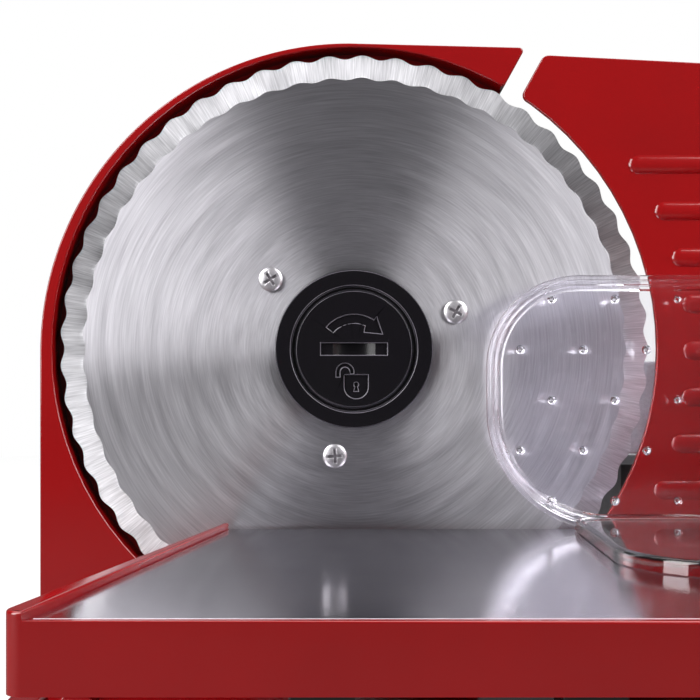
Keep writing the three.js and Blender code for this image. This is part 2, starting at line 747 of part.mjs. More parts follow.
function makeMotorCover() {
  const front = SEAM_BEHIND_BLADE + SEAT_GAP;
  const inside = upright(
    towerOutline(HOUSING_WALL, towerRight - HOUSING_WALL),
    [front - 1, TOWER_BACK - HOUSING_WALL],
    20,
  );
  let body = upright(towerOutline(0, towerRight), [front, TOWER_BACK], 28).subtract(inside);
  for (let i = 0; i < VENT_COUNT; i += 1) {
    const middle = VENT_MIDDLE.z + (i - (VENT_COUNT - 1) / 2) * VENT_PITCH;
    const vent = block(
      [VENT_MIDDLE.x - VENT_LENGTH / 2, VENT_MIDDLE.x + VENT_LENGTH / 2],
      past([TOWER_BACK - HOUSING_WALL, TOWER_BACK]),
      [middle - VENT_WIDTH / 2, middle + VENT_WIDTH / 2],
    );
    body = body.subtract(vent);
  }
  for (const { x, z } of coverScrewPlaces()) {
    const reach = past([TOWER_BACK - HOUSING_WALL, TOWER_BACK]);
    body = body.subtract(barY(COVER_SCREW_RADIUS + SEAT_GAP, reach, x, z, 8));
  }
  return part("motor_cover", body, red);
}

function makeCoverScrew(number, { x, z }) {
  const seat = TOWER_BACK + SEAT_GAP;
  const head = barY(COVER_SCREW_HEAD_RADIUS, [seat, seat + COVER_SCREW_HEAD_HEIGHT], x, z, 12);
  const shank = barY(COVER_SCREW_RADIUS, [seat - COVER_SCREW_LENGTH, seat + 0.5], x, z, 6);
  return part(`cover_screw_${number}`, head.add(shank), steel);
}

function makeBush(name, from, length) {
  const bore = barY(SPINDLE_RADIUS + RUNNING_GAP, past(spanFrom(from, length)));
  return part(name, barY(BUSH_RADIUS, spanFrom(from, length)).subtract(bore), bronze);
}

// A U-shaped bridge over the worm wheel that carries the rear bush.
function makeBearingBridge() {
  const reach = WHEEL_RADIUS + BRIDGE_CLEARANCE;
  const plateFront = wheelSpan[1] + 2 * BRIDGE_CLEARANCE;
  const plateBack = plateFront + BRIDGE_THICKNESS;
  const half = BRIDGE_WIDTH / 2;
  const side = reach + BRIDGE_THICKNESS;
  const plate = block([-half, half], [plateFront, plateBack], [-side, side]);
  const legDepth = [cavityFront + SEAT_GAP, plateBack];
  const upperLeg = block([-half, half], legDepth, spanFrom(reach, BRIDGE_THICKNESS));
  const lowerLeg = block([-half, half], legDepth, spanFrom(-reach - BRIDGE_THICKNESS, BRIDGE_THICKNESS));
  const hole = barY(BUSH_RADIUS + SEAT_GAP, past([plateFront, plateBack]));
  return part("bearing_bridge", plate.add(upperLeg).add(lowerLeg).subtract(hole), steel);
}

function makeTowerGroup() {
  const group = new THREE.Group();
  const rearBushFront = wheelSpan[1] + BRIDGE_CLEARANCE;
  group.add(makeMainHousing(), makeMotorCover(), makeBearingBridge());
  group.add(makeBush("front_bush", recessFloor, FRONT_BUSH_LENGTH));
  group.add(makeBush("rear_bush", rearBushFront, REAR_BUSH_LENGTH));
  coverScrewPlaces().forEach((place, i) => group.add(makeCoverScrew(i + 1, place)));
  return group;
}

// ---- Base group, from the table up ----------------------------------------------------------------

function railPosts() {
  const posts = [];
  const top = railHeight + RAIL_POST.above_rail;
  for (const y of [FRONT_RAIL_Y, REAR_RAIL_Y]) {
    const depth = [y - RAIL_POST.width / 2, y + RAIL_POST.width / 2];
    posts.push(block([railSpan[0], railSpan[0] + RAIL_POST.length], depth, [baseTop - 1, top]));
    posts.push(block([railSpan[1] - RAIL_POST.length, railSpan[1]], depth, [baseTop - 1, top]));
  }
  return posts;
}

function makeBaseHousing() {
  const outer = rectangle([towerLeft, BASE_RIGHT], [BASE_FRONT, baseBack], BASE_CORNER);
  const inner = rectangle(
    [towerLeft + BASE_WALL, BASE_RIGHT - BASE_WALL],
    [BASE_FRONT + BASE_WALL, baseBack - BASE_WALL],
    BASE_CORNER - BASE_WALL,
  );
  let body = flat(outer, [FOOT_HEIGHT, baseTop]).subtract(flat(inner, [0, baseTop - BASE_WALL]));
  for (const post of railPosts()) {
    body = body.add(post);
  }
  for (const y of [FRONT_RAIL_Y, REAR_RAIL_Y]) {
    const hole = barX(RAIL_RADIUS + SEAT_GAP, past(railSpan), y, railHeight, 16);
    body = body.subtract(hole);
  }
  const switchHole = block(
    [SWITCH_X - SWITCH_WIDTH / 2 + SWITCH_BEZEL / 2, SWITCH_X + SWITCH_WIDTH / 2 - SWITCH_BEZEL / 2],
    [BASE_FRONT - 1, BASE_FRONT + BASE_WALL + 1],
    [SWITCH_HEIGHT - SWITCH_TALL / 2 + SWITCH_BEZEL / 2, SWITCH_HEIGHT + SWITCH_TALL / 2 - SWITCH_BEZEL / 2],
  );
  const inlet = past([baseBack - BASE_WALL, baseBack]);
  const inletHole = barY(CORD_INLET_RADIUS + SEAT_GAP, inlet, CORD_INLET_X, CORD_INLET_HEIGHT, 16);
  return part("base_housing", body.subtract(switchHole).subtract(inletHole), red);
}

function makeBottomPlate() {
  const inset = BASE_WALL + SEAT_GAP;
  const outline = rectangle(
    [towerLeft + inset, BASE_RIGHT - inset],
    [BASE_FRONT + inset, baseBack - inset],
    BASE_CORNER - inset,
  );
  return part("bottom_plate", flat(outline, [FOOT_HEIGHT, FOOT_HEIGHT + BOTTOM_PLATE_THICKNESS]), black);
}

function makeFoot(name, x, y) {
  const top = FOOT_HEIGHT - SEAT_GAP;
  const cup = barZ(FOOT_RADIUS, [0, top / 2], x, y, 18);
  const neck = barZ(FOOT_NECK_RADIUS, [top / 2 - 0.5, top], x, y, 18);
  return part(`foot_${name}`, cup.add(neck), rubber);
}

function makeRail(name, y) {
  return part(name, barX(RAIL_RADIUS, railSpan, y, railHeight, 16), steel);
}

function makeCordInlet() {
  const front = baseBack - BASE_WALL - CORD_INLET_COLLAR;
  const seat = baseBack + SEAT_GAP;
  const sleeve = barY(CORD_INLET_RADIUS, [front, seat + 1], CORD_INLET_X, CORD_INLET_HEIGHT, 16);
  const collar = barY(
    CORD_INLET_RADIUS + CORD_INLET_COLLAR,
    [seat, seat + CORD_INLET_COLLAR],
    CORD_INLET_X,
    CORD_INLET_HEIGHT,
    16,
  );
  const reach = past([front, seat + CORD_INLET_COLLAR]);
  const bore = barY(CORD_INLET_BORE, reach, CORD_INLET_X, CORD_INLET_HEIGHT, 16);
  return part("cord_inlet", sleeve.add(collar).subtract(bore), rubber);
}

// The switch's case: a bezel on the base's front face and a hollow box behind it.
function makeSwitchBody() {
  const halfWidth = SWITCH_WIDTH / 2;
  const halfTall = SWITCH_TALL / 2;
  const seat = BASE_FRONT - SEAT_GAP;
  const neck = SWITCH_BEZEL / 2 + SEAT_GAP;
  const bezel = block(
    [-halfWidth, halfWidth],
    [seat - SWITCH_BEZEL, seat],
    [-halfTall, halfTall],
  );
  const box = block(
    [-halfWidth + neck, halfWidth - neck],
    [seat - 0.5, seat + SWITCH_DEPTH],
    [-halfTall + neck, halfTall - neck],
  );
  const hollow = block(
    [-halfWidth + SWITCH_FRAME, halfWidth - SWITCH_FRAME],
    [seat - SWITCH_BEZEL - 1, seat + SWITCH_DEPTH - SWITCH_FRAME],
    [-halfTall + SWITCH_FRAME, halfTall - SWITCH_FRAME],
  );
  const mesh = part("switch_body", bezel.add(box).subtract(hollow), black);
  mesh.position.set(SWITCH_X, 0, SWITCH_HEIGHT);
  return mesh;
}

function makeRocker() {
  const half = SWITCH_TALL / 2 - SWITCH_FRAME - ROCKER_GAP;
  const halfWidth = SWITCH_WIDTH / 2 - SWITCH_FRAME - ROCKER_GAP / 2;
  const outline = new THREE.Shape();
  outline.moveTo(ROCKER_DEPTH / 2, -half);
  outline.lineTo(ROCKER_DEPTH / 2, half);
  outline.lineTo(-ROCKER_DEPTH / 2, half);
  outline.lineTo(-ROCKER_DEPTH / 2 + 0.9, 0);
  outline.lineTo(-ROCKER_DEPTH / 2, -half);
  outline.closePath();
  const mesh = part("switch_rocker", sideways(outline, [-halfWidth, halfWidth]), black);
  mesh.rotation.x = THREE.MathUtils.degToRad(ROCKER_TILT);
  mesh.position.set(SWITCH_X, BASE_FRONT - ROCKER_PROUD + ROCKER_DEPTH / 2, SWITCH_HEIGHT);
  return mesh;
}

function makeBaseGroup() {
  const group = new THREE.Group();
  group.add(makeBaseHousing(), makeBottomPlate(), makeCordInlet(), makeSwitchBody(), makeRocker());
  group.add(makeRail("carriage_rail_front", FRONT_RAIL_Y), makeRail("carriage_rail_rear", REAR_RAIL_Y));
  const feet = {
    front_left: [towerLeft + FOOT_INSET, BASE_FRONT + FOOT_INSET],
    front_right: [BASE_RIGHT - FOOT_INSET, BASE_FRONT + FOOT_INSET],
    rear_left: [towerLeft + FOOT_INSET, baseBack - FOOT_INSET],
    rear_right: [BASE_RIGHT - FOOT_INSET, baseBack - FOOT_INSET],
  };
  for (const [name, [x, y]] of Object.entries(feet)) {
    group.add(makeFoot(name, x, y));
  }
  return group;
}

// ---- Thickness group, about the blade's axis --------------------------------------------------------

function makeThicknessPlate() {
  const topRight = plateTip.z - PLATE_TOP_FALL * (PLATE_RIGHT - plateTip.x);
  const slant = (archTip.x - archFoot.x) / (archTip.z - archFoot.z);
  const outline = rounded([
    [0, PLATE_BOTTOM],
    [PLATE_RIGHT, PLATE_BOTTOM, PLATE_CORNER],
    [PLATE_RIGHT, topRight, PLATE_CORNER],
    [plateTip.x, plateTip.z, PLATE_CORNER],
    [plateTip.x - plateTip.z * slant, 0],
  ]);
  let body = upright(outline, [0, PLATE_THICKNESS]);
  for (let row = 0; row < PLATE_RIB_COUNT; row += 1) {
    const z = PLATE_TOP_RIB - row * PLATE_RIB_PITCH;
    const onCircle = Math.sqrt((plateEdge + PLATE_RIB_MARGIN) ** 2 - z ** 2);
    const start = Math.min(onCircle, PLATE_RIB_END);
    const half = PLATE_RIB_WIDTH / 2;
    const rib = rectangle([start, PLATE_RIGHT - PLATE_CORNER], [z - half, z + half], half * 0.9);
    body = body.add(upright(rib, [-PLATE_RIB_HEIGHT, PLATE_THICKNESS / 2], 2));
  }
  body = body.subtract(barY(plateEdge, past([-PLATE_RIB_HEIGHT, PLATE_THICKNESS]), 0, 0, 80));
  return part("thickness_plate", body, red);
}

// The bracket behind the plate: a bar that shows beside the blade and a leg that holds the rods.
function makePlateCarrier() {
  const depth = [carrierFront, carrierBack];
  const bar = block([carrierLeft, carrierLeg[1]], depth, [CARRIER_STEP, CARRIER_TOP]);
  const leg = block(carrierLeg, depth, [CARRIER_BOTTOM, CARRIER_STEP + 1]);
  const socket = [carrierBack - ROD_SOCKET_DEPTH, carrierBack + 1];
  const screwSocket = barY(PLATE_SCREW_RADIUS + SEAT_GAP, socket, guideMiddle, GUIDE_ROD_HEIGHT);
  let body = bar.add(leg).subtract(screwSocket);
  for (const x of Object.values(guideRodX)) {
    body = body.subtract(barY(GUIDE_ROD_RADIUS + SEAT_GAP, socket, x, GUIDE_ROD_HEIGHT));
  }
  return part("plate_carrier", body, grey);
}

function makeGuideRod(name, x) {
  const span = [carrierBack - ROD_SOCKET_DEPTH + SEAT_GAP, guideBack - PLATE_TRAVEL];
  return part(name, barY(GUIDE_ROD_RADIUS, span, x, GUIDE_ROD_HEIGHT), steel);
}

function makePlateGuide() {
  const floor = baseTop + SEAT_GAP - axisHeight;
  const span = [guideFront, guideBack];
  const through = past([guideFront, guideBack]);
  const width = [BLADE_RADIUS - GUIDE_BEHIND_BLADE, carrierLeg[1] + GUIDE_MARGIN];
  let body = block(width, span, [floor, GUIDE_TOP]);
  for (const x of Object.values(guideRodX)) {
    body = body.subtract(barY(GUIDE_ROD_RADIUS + RUNNING_GAP, through, x, GUIDE_ROD_HEIGHT));
  }
  const bore = barY(PLATE_SCREW_RADIUS + RUNNING_GAP, through, guideMiddle, GUIDE_ROD_HEIGHT);
  return part("plate_guide", body.subtract(bore), black);
}

// The screw moves with the plate: the dial's nut draws it back through the guide.
function makePlateScrew() {
  const span = [carrierBack - ROD_SOCKET_DEPTH + SEAT_GAP, guideBack + PLATE_SCREW_PAST_GUIDE];
  return part("plate_screw", barY(PLATE_SCREW_RADIUS, span, guideMiddle, GUIDE_ROD_HEIGHT), steel);
}

function makeThicknessDial() {
  const front = guideBack + RUNNING_GAP;
  const outline = gearOutline(DIAL_FLUTES, DIAL_RADIUS, DIAL_RADIUS - DIAL_FLUTE_DEPTH);
  const screwEnd = guideBack + PLATE_SCREW_PAST_GUIDE + PLATE_TRAVEL;
  const socket = barY(PLATE_SCREW_RADIUS + RUNNING_GAP, [front - 1, screwEnd + 1]);
  const body = upright(outline, [front, front + DIAL_LENGTH]).subtract(socket);
  const mesh = part("thickness_dial", body, black);
  mesh.position.set(guideMiddle, 0, GUIDE_ROD_HEIGHT);
  return mesh;
}

function makeThicknessGroup() {
  const group = new THREE.Group();
  group.add(makeThicknessPlate(), makePlateCarrier(), makePlateGuide());
  group.add(makePlateScrew(), makeThicknessDial());
  for (const [side, x] of Object.entries(guideRodX)) {
    group.add(makeGuideRod(`guide_rod_${side}`, x));
  }
  return group;
}

// ---- Carriage group, from the table up ---------------------------------------------------------------

// The steel's left edge at a place in front of the blade.
function steelLeft(y) {
  return TRAY_LEFT_AT_BACK + TRAY_SPLAY * (y - TRAY_BACK);
}

// The carriage frame seen from above, drawn in by a wall's thickness for its inside.
function frameOutline(inset) {
  const backLeft = TRAY_LEFT_AT_BACK - RIM_WIDTH_BACK;
  const frontLeft = steelLeft(TRAY_FRONT) - RIM_WIDTH_FRONT;
  const corner = Math.max(FRAME_CORNER - inset, 1);
  return rounded([
    [backLeft + inset, TRAY_BACK - inset, corner / 4],
    [frontLeft + inset, TRAY_FRONT + inset, corner],
    [TRAY_RIGHT - inset, TRAY_FRONT + inset, corner],
    [TRAY_RIGHT - inset, TRAY_BACK - inset, corner],
  ]);
}

function steelOutline(grow) {
  const front = TRAY_FRONT + TRAY_LIP;
  const right = TRAY_RIGHT - TRAY_LIP;
  return rounded([
    [steelLeft(TRAY_BACK) - grow, TRAY_BACK + grow],
    [steelLeft(front) - grow, front - grow, 1],
    [right + grow, front - grow, 1],
    [right + grow, TRAY_BACK + grow],
  ]);
}

function makeCarriageFrame() {
  const bottom = trayTop - FRAME_HEIGHT;
  const outer = flat(frameOutline(0), [bottom, trayTop]);
  const rimShape = rounded([
    [steelLeft(TRAY_BACK) - RIM_WIDTH_BACK, TRAY_BACK - 1],
    [steelLeft(TRAY_FRONT) - RIM_WIDTH_FRONT, TRAY_FRONT, FRAME_CORNER],
    [steelLeft(TRAY_FRONT) - SEAT_GAP, TRAY_FRONT],
    [steelLeft(TRAY_BACK) - SEAT_GAP, TRAY_BACK - 1],
  ]);
  const rim = flat(rimShape, [trayTop - 2, trayTop + RIM_HEIGHT]);
  const hollow = flat(frameOutline(FRAME_WALL), [bottom - 1, frameInside]);
  const pocket = flat(steelOutline(SEAT_GAP), [frameTopUnderSteel, trayTop + 1]);
  const body = outer.add(rim).subtract(hollow).subtract(pocket);
  return part("carriage_frame", body, red);
}

function makeTrayPlate() {
  return part("tray_plate", flat(steelOutline(0), [steelBottom, trayTop]), steel);
}

function makeRailShoe(name, x, y) {
  const body = block(
    [x - SHOE_LENGTH / 2, x + SHOE_LENGTH / 2],
    [y - SHOE_WIDTH / 2, y + SHOE_WIDTH / 2],
    [railHeight - SHOE_BELOW_RAIL, frameInside - SEAT_GAP],
  );
  const length = past(spanFrom(x - SHOE_LENGTH / 2, SHOE_LENGTH));
  const bore = barX(RAIL_RADIUS + RUNNING_GAP, length, y, railHeight, 16);
  return part(name, body.subtract(bore), black);
}

// The upright wall at the carriage's right end, slotted for the pusher's bolt.
function makeEndWall() {
  const foot = trayTop + SEAT_GAP;
  const outline = rounded([
    [END_WALL_FRONT, foot],
    [END_WALL_BACK, foot],
    [END_WALL_BACK, foot + END_WALL_HEIGHT, END_WALL_CORNER],
    [END_WALL_FRONT, foot + END_WALL_HEIGHT, END_WALL_CORNER * 2],
  ]);
  const reach = PUSHER_BOLT_RADIUS + 1;
  const slot = rectangle(
    [boltY - PUSHER_TRAVEL - reach - 2, boltY + reach + 2],
    [boltHeight - reach, boltHeight + reach],
    reach * 0.95,
  );
  const cut = sideways(slot, past(endWall), 4);
  const body = sideways(outline, endWall).subtract(cut);
  return part("carriage_end_wall", body, red);
}

function makeCarriageGroup() {
  const group = new THREE.Group();
  group.add(makeCarriageFrame(), makeTrayPlate(), makeEndWall());
  const shoes = {
    front_left: [LEFT_SHOE_X, FRONT_RAIL_Y],
    front_right: [RIGHT_SHOE_X, FRONT_RAIL_Y],
    rear_left: [LEFT_SHOE_X, REAR_RAIL_Y],
    rear_right: [RIGHT_SHOE_X, REAR_RAIL_Y],
  };
  for (const [name, [x, y]] of Object.entries(shoes)) {
    group.add(makeRailShoe(`rail_shoe_${name}`, x, y));
  }
  return group;
}

// ---- Pusher group, from the tray up ----------------------------------------------------------------

// A row of studs starts half a pitch to the left on every second row.
function studPlaces() {
  const places = [];
  for (let row = 0; row < STUD_ROWS; row += 1) {
    const start = STUD_FIRST.x - (row % 2) * (STUD_PITCH_X / 2);
    for (let x = start; x < pusherRight - STUD_MARGIN; x += STUD_PITCH_X) {
      places.push({ x, z: STUD_FIRST.z - row * STUD_PITCH_Z });
    }
  }
  return places;
}

function makePusher() {
  const foot = SEAT_GAP;
  const front = PUSHER_BACK - PUSHER_THICKNESS;
  const face = rounded([
    [PUSHER_LEFT, foot, PUSHER_BOTTOM_CORNER],
    [pusherRight, foot],
    [pusherRight, foot + PUSHER_HEIGHT],
    [PUSHER_LEFT, foot + PUSHER_HEIGHT, PUSHER_TOP_CORNER],
  ]);
  let body = upright(face, [front, PUSHER_BACK], 8);
  const sole = rounded([
    [PUSHER_FOOT_LEFT, PUSHER_BACK - 1],
    [PUSHER_FOOT_LEFT, PUSHER_FOOT_FRONT, PUSHER_FOOT_CORNER],
    [pusherRight, PUSHER_FOOT_FRONT, 4],
    [pusherRight, PUSHER_BACK - 1],
  ]);
  body = body.add(flat(sole, [foot, foot + PUSHER_FOOT_THICKNESS]));
  const side = rounded([
    [PUSHER_FOOT_FRONT + 4, foot + 1],
    [PUSHER_BACK - 1, foot + 1],
    [PUSHER_BACK - 1, foot + PUSHER_HEIGHT],
    [PUSHER_FOOT_FRONT + 4, foot + PUSHER_HEIGHT * 0.55, PUSHER_TOP_CORNER],
  ]);
  body = body.add(sideways(side, pusherSide, 8));
  for (const { x, z } of studPlaces()) {
    const stud = new THREE.CylinderGeometry(STUD_RADIUS * 0.3, STUD_RADIUS, STUD_HEIGHT + 1, 6);
    stud.translate(x, PUSHER_BACK + (STUD_HEIGHT - 1) / 2, z);
    body = body.add(solid(stud));
  }
  const reach = past(pusherSide);
  const hole = barX(PUSHER_BOLT_RADIUS + SEAT_GAP, reach, boltY, PUSHER_SLOT_HEIGHT, 20);
  return part("pusher", body.subtract(hole), clear);
}

function makePusherBolt() {
  const headSeat = pusherSide[0] - SEAT_GAP;
  const shankSpan = [headSeat - 1, gripStart + GRIP_LENGTH / 2];
  const headSpan = [headSeat - PUSHER_BOLT_RADIUS, headSeat];
  const shank = barX(PUSHER_BOLT_RADIUS, shankSpan, boltY, PUSHER_SLOT_HEIGHT);
  const head = barX(PUSHER_BOLT_RADIUS * 2, headSpan, boltY, PUSHER_SLOT_HEIGHT);
  return part("pusher_bolt", shank.add(head), steel);
}

function makePusherGrip() {
  const knob = barX(GRIP_RADIUS, [gripStart, gripStart + GRIP_LENGTH], boltY, PUSHER_SLOT_HEIGHT);
  const socketSpan = [gripStart - 1, gripStart + GRIP_LENGTH / 2 + SEAT_GAP];
  const socket = barX(PUSHER_BOLT_RADIUS + SEAT_GAP, socketSpan, boltY, PUSHER_SLOT_HEIGHT);
  return part("pusher_grip", knob.subtract(socket), black);
}

function makePusherGroup() {
  const group = new THREE.Group();
  group.add(makePusher(), makePusherBolt(), makePusherGrip());
  group.position.z = trayTop;
  return group;
}

// ---- The whole slicer ----------------------------------------------------------------------------------

function makeSlicer() {
  const slicer = new THREE.Group();
  const aroundAxis = new THREE.Group();
  aroundAxis.position.z = axisHeight;
  aroundAxis.add(makeBladeGroup(), makeMotorGroup(), makeTowerGroup(), makeThicknessGroup());
  slicer.add(makeBaseGroup(), aroundAxis, makeCarriageGroup(), makePusherGroup());

  // The slicer stands on the middle of its own footprint.
  const box = new THREE.Box3().setFromObject(slicer);
  slicer.position.set(-(box.min.x + box.max.x) / 2, -(box.min.y + box.max.y) / 2, 0);
  return slicer;
}

export default makeSlicer();
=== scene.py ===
import math

import bmesh
import bpy
from mathutils import Matrix, Vector


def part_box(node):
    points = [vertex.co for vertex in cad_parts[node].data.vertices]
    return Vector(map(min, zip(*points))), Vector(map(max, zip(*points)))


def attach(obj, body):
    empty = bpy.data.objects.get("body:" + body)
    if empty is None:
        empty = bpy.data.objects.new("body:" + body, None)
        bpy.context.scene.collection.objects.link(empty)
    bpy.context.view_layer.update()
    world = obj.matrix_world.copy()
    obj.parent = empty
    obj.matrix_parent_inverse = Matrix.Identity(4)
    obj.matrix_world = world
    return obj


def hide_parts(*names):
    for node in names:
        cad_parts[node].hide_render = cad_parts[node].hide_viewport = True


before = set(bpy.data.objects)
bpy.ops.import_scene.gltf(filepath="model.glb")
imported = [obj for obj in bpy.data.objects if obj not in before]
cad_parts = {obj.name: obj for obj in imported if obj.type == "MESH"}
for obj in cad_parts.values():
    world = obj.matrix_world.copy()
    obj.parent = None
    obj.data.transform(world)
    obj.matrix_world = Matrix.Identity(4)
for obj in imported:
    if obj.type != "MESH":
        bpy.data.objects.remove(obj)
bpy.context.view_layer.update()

# ---- Base ---------------------------------------------------------------------------------------------
# A low red housing that everything stands on, injection-moulded in ABS with a high gloss.
# A plate closes it underneath, and its corners and top edge are rounded as the mould leaves them.
MM = 0.001
UPRIGHT_SEAM = math.radians(50)


def add(material, kind, inputs=None, **settings):
    """A node with its settings; an input is a value or the output that feeds it."""
    made = material.node_tree.nodes.new("ShaderNode" + kind)
    for name, value in settings.items():
        setattr(made, name, value)
    for name, value in (inputs or {}).items():
        if isinstance(value, bpy.types.NodeSocket):
            material.node_tree.links.new(value, made.inputs[name])
        else:
            made.inputs[name].default_value = value
    return made


def linear(hex_colour):
    """An sRGB hex colour as the linear numbers that a shader takes."""
    channels = [int(hex_colour[i : i + 2], 16) / 255 for i in (1, 3, 5)]
    return [c / 12.92 if c <= 0.04045 else ((c + 0.055) / 1.055) ** 2.4 for c in channels] + [1.0]


def per_metre(millimetres):
    """How many times a pattern of this size comes in a metre."""
    return 1000 / millimetres


def new_finish(name):
    material = bpy.data.materials.new(name)
    material.use_nodes = True
    material.node_tree.nodes.clear()
    return material


def moulded(name, light, dark, roughness, grain, depth, cloud=26, specular=0.5):
    """Moulded plastic: a faint cloudiness of the colour, and a fine grain that breaks up the gloss."""
    material = new_finish(name)
    place = add(material, "TexCoord").outputs["Object"]
    flow = add(material, "TexNoise", {"Vector": place, "Scale": per_metre(cloud), "Detail": 3})
    colour = add(
        material,
        "Mix",
        {0: flow.outputs["Fac"], 6: linear(light), 7: linear(dark)},
        data_type="RGBA",
    )
    fine = add(material, "TexNoise", {"Vector": place, "Scale": per_metre(grain), "Detail": 2})
    rough = add(
        material,
        "MapRange",
        {"Value": flow.outputs["Fac"], 3: roughness * 0.85, 4: roughness * 1.2},
    )
    bump = add(
        material,
        "Bump",
        {"Height": fine.outputs["Fac"], "Distance": depth * MM, "Strength": 0.6},
    )
    shader = add(
        material,
        "BsdfPrincipled",
        {
            "Base Color": colour.outputs[2],
            "Roughness": rough.outputs[0],
            "Normal": bump.outputs[0],
            "Specular IOR Level": specular,
        },
    )
    add(material, "OutputMaterial", {"Surface": shader.outputs[0]})
    return material


# Glossy ABS: an even blood red, a little darker where the melt met, with the skin's slight orange peel.
red_abs = moulded("red_gloss_abs", "#7A0507", "#6E0406", 0.15, 1.6, 0.003)


def finished(name, shape, finishes, body, slot, *stands_for, crisp=UPRIGHT_SEAM):
    """The shaped piece as an object on its body, smooth where it is round and crisp where it is not."""
    for face in shape.faces:
        face.smooth = True
    for edge in shape.edges:
        edge.smooth = not edge.is_manifold or edge.calc_face_angle() < crisp
    mesh = bpy.data.meshes.new(name)
    shape.to_mesh(mesh)
    shape.free()
    for finish in finishes:
        mesh.materials.append(finish)
    made = bpy.data.objects.new(name, mesh)
    bpy.context.scene.collection.objects.link(made)
    flat_faces = made.modifiers.new("flat_faces", "WEIGHTED_NORMAL")
    flat_faces.keep_sharp = True
    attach(made, body)
    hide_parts(*stands_for)
    return made


def merged_copy(node, within=0.004):
    """A CAD piece's shape with its triangles joined into whole faces, and closer points made one."""
    shape = bmesh.new()
    shape.from_mesh(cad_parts[node].data)
    bmesh.ops.remove_doubles(shape, verts=shape.verts, dist=within * MM)
    flat = math.radians(0.5)
    bmesh.ops.dissolve_limit(shape, angle_limit=flat, verts=shape.verts, edges=shape.edges)
    return shape


def round_edges(
    shape, width, segments=3, chosen=lambda e: True, sharper=UPRIGHT_SEAM, clamp=True, finish=-1
):
    """Rounds the chosen sharp edges to a width in millimetres, in another finish if one is given."""
    edges = [
        edge
        for edge in shape.edges
        if edge.is_manifold and edge.calc_face_angle() > sharper and chosen(edge)
    ]
    bmesh.ops.bevel(
        shape,
        geom=edges,
        offset=width * MM,
        offset_type="OFFSET",
        segments=segments,
        profile=0.5,
        affect="EDGES",
        clamp_overlap=clamp,
        loop_slide=clamp,
        material=finish,
    )


def middle(edge):
    return (edge.verts[0].co + edge.verts[1].co) / 2


shape = merged_copy("base_housing")
base_low, base_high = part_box("base_housing")
BASE_TOP = 47 * MM
BASE_ROUND = 1.2


def on_base_shell(edge):
    """The shell's outer edges, and not the ones inside its wall."""
    here = middle(edge)
    inset = min(here.x - base_low.x, base_high.x - here.x, here.y - base_low.y, base_high.y - here.y)
    return inset < 1.5 * MM or here.z > BASE_TOP - MM


round_edges(shape, BASE_ROUND, 4, on_base_shell, clamp=False)
finished("base_shell", shape, [red_abs], "base", "red_plastic", "base_housing")

# ---- Bottom plate and feet ----------------------------------------------------------------------------
# A black plate closes the base from below, and four feet of soft rubber stand on the worktop.
# The feet are round mouldings with a rounded rim, pushed through the plate by their necks.
black_abs = moulded("black_satin_abs", "#211F23", "#18171A", 0.34, 0.7, 0.006)
# Moulded rubber is matt and takes dust, so it goes grey in patches.
foot_rubber = moulded("foot_rubber", "#2A2A2A", "#1D1D1E", 0.8, 0.5, 0.02, cloud=8)

shape = merged_copy("bottom_plate")
round_edges(shape, 0.5, 2)
finished("base_bottom_plate", shape, [black_abs], "base", "black_plastic", "bottom_plate")

for side in ["front_left", "front_right", "rear_left", "rear_right"]:
    shape = merged_copy("foot_" + side)
    round_edges(shape, 1.0, 3)
    finished("rubber_foot_" + side, shape, [foot_rubber], "base", "rubber", "foot_" + side)


# ---- Carriage rails -----------------------------------------------------------------------------------
# Two ground steel rods that the carriage runs on, held in posts at the base's ends.
# They are turned and polished along their length, with a small chamfer at each end.
def turned(outline, centre, axis, steps=64):
    """Turns an outline of (distance from the axis, place along it), in millimetres, about the axis."""
    axis = Vector(axis)
    across = axis.orthogonal().normalized()
    shape = bmesh.new()
    points = [
        shape.verts.new(Vector(centre) + across * radius * MM + axis * along * MM)
        for radius, along in outline
    ]
    lines = [shape.edges.new(pair) for pair in zip(points, points[1:])]
    bmesh.ops.spin(
        shape,
        geom=points + lines,
        cent=centre,
        axis=axis,
        angle=math.tau,
        steps=steps,
        use_merge=True,
    )
    bmesh.ops.remove_doubles(shape, verts=shape.verts, dist=0.002 * MM)
    bmesh.ops.recalc_face_normals(shape, faces=shape.faces)
    return shape


def ground_steel(name, light, dark, roughness, mark, stretch=(1, 1, 1), slope=0.004):
    """Bare metal whose machining marks run along the direction in which they are stretched."""
    material = new_finish(name)
    place = add(material, "TexCoord").outputs["Object"]
    along = add(material, "Mapping", {"Vector": place, "Scale": stretch})
    marks = add(
        material,
        "TexNoise",
        {"Vector": along.outputs[0], "Scale": per_metre(mark), "Detail": 4},
    )
    colour = add(
        material,
        "Mix",
        {0: marks.outputs["Fac"], 6: linear(light), 7: linear(dark)},
        data_type="RGBA",
    )
    rough = add(
        material,
        "MapRange",
        {"Value": marks.outputs["Fac"], 3: roughness * 0.75, 4: roughness * 1.25},
    )
    bump = add(
        material,
        "Bump",
        {"Height": marks.outputs["Fac"], "Distance": slope * MM, "Strength": 0.5},
    )
    shader = add(
        material,
        "BsdfPrincipled",
        {
            "Base Color": colour.outputs[2],
            "Metallic": 1.0,
            "Roughness": rough.outputs[0],
            "Normal": bump.outputs[0],
        },
    )
    add(material, "OutputMaterial", {"Surface": shader.outputs[0]})
    return material


# Chromed rod: bright and cold, with drawing marks along X drawn at half a millimetre so that they show.
rail_steel = ground_steel("chromed_rod", "#D9DADD", "#B9BABF", 0.16, 0.5, (0.04, 1, 1))


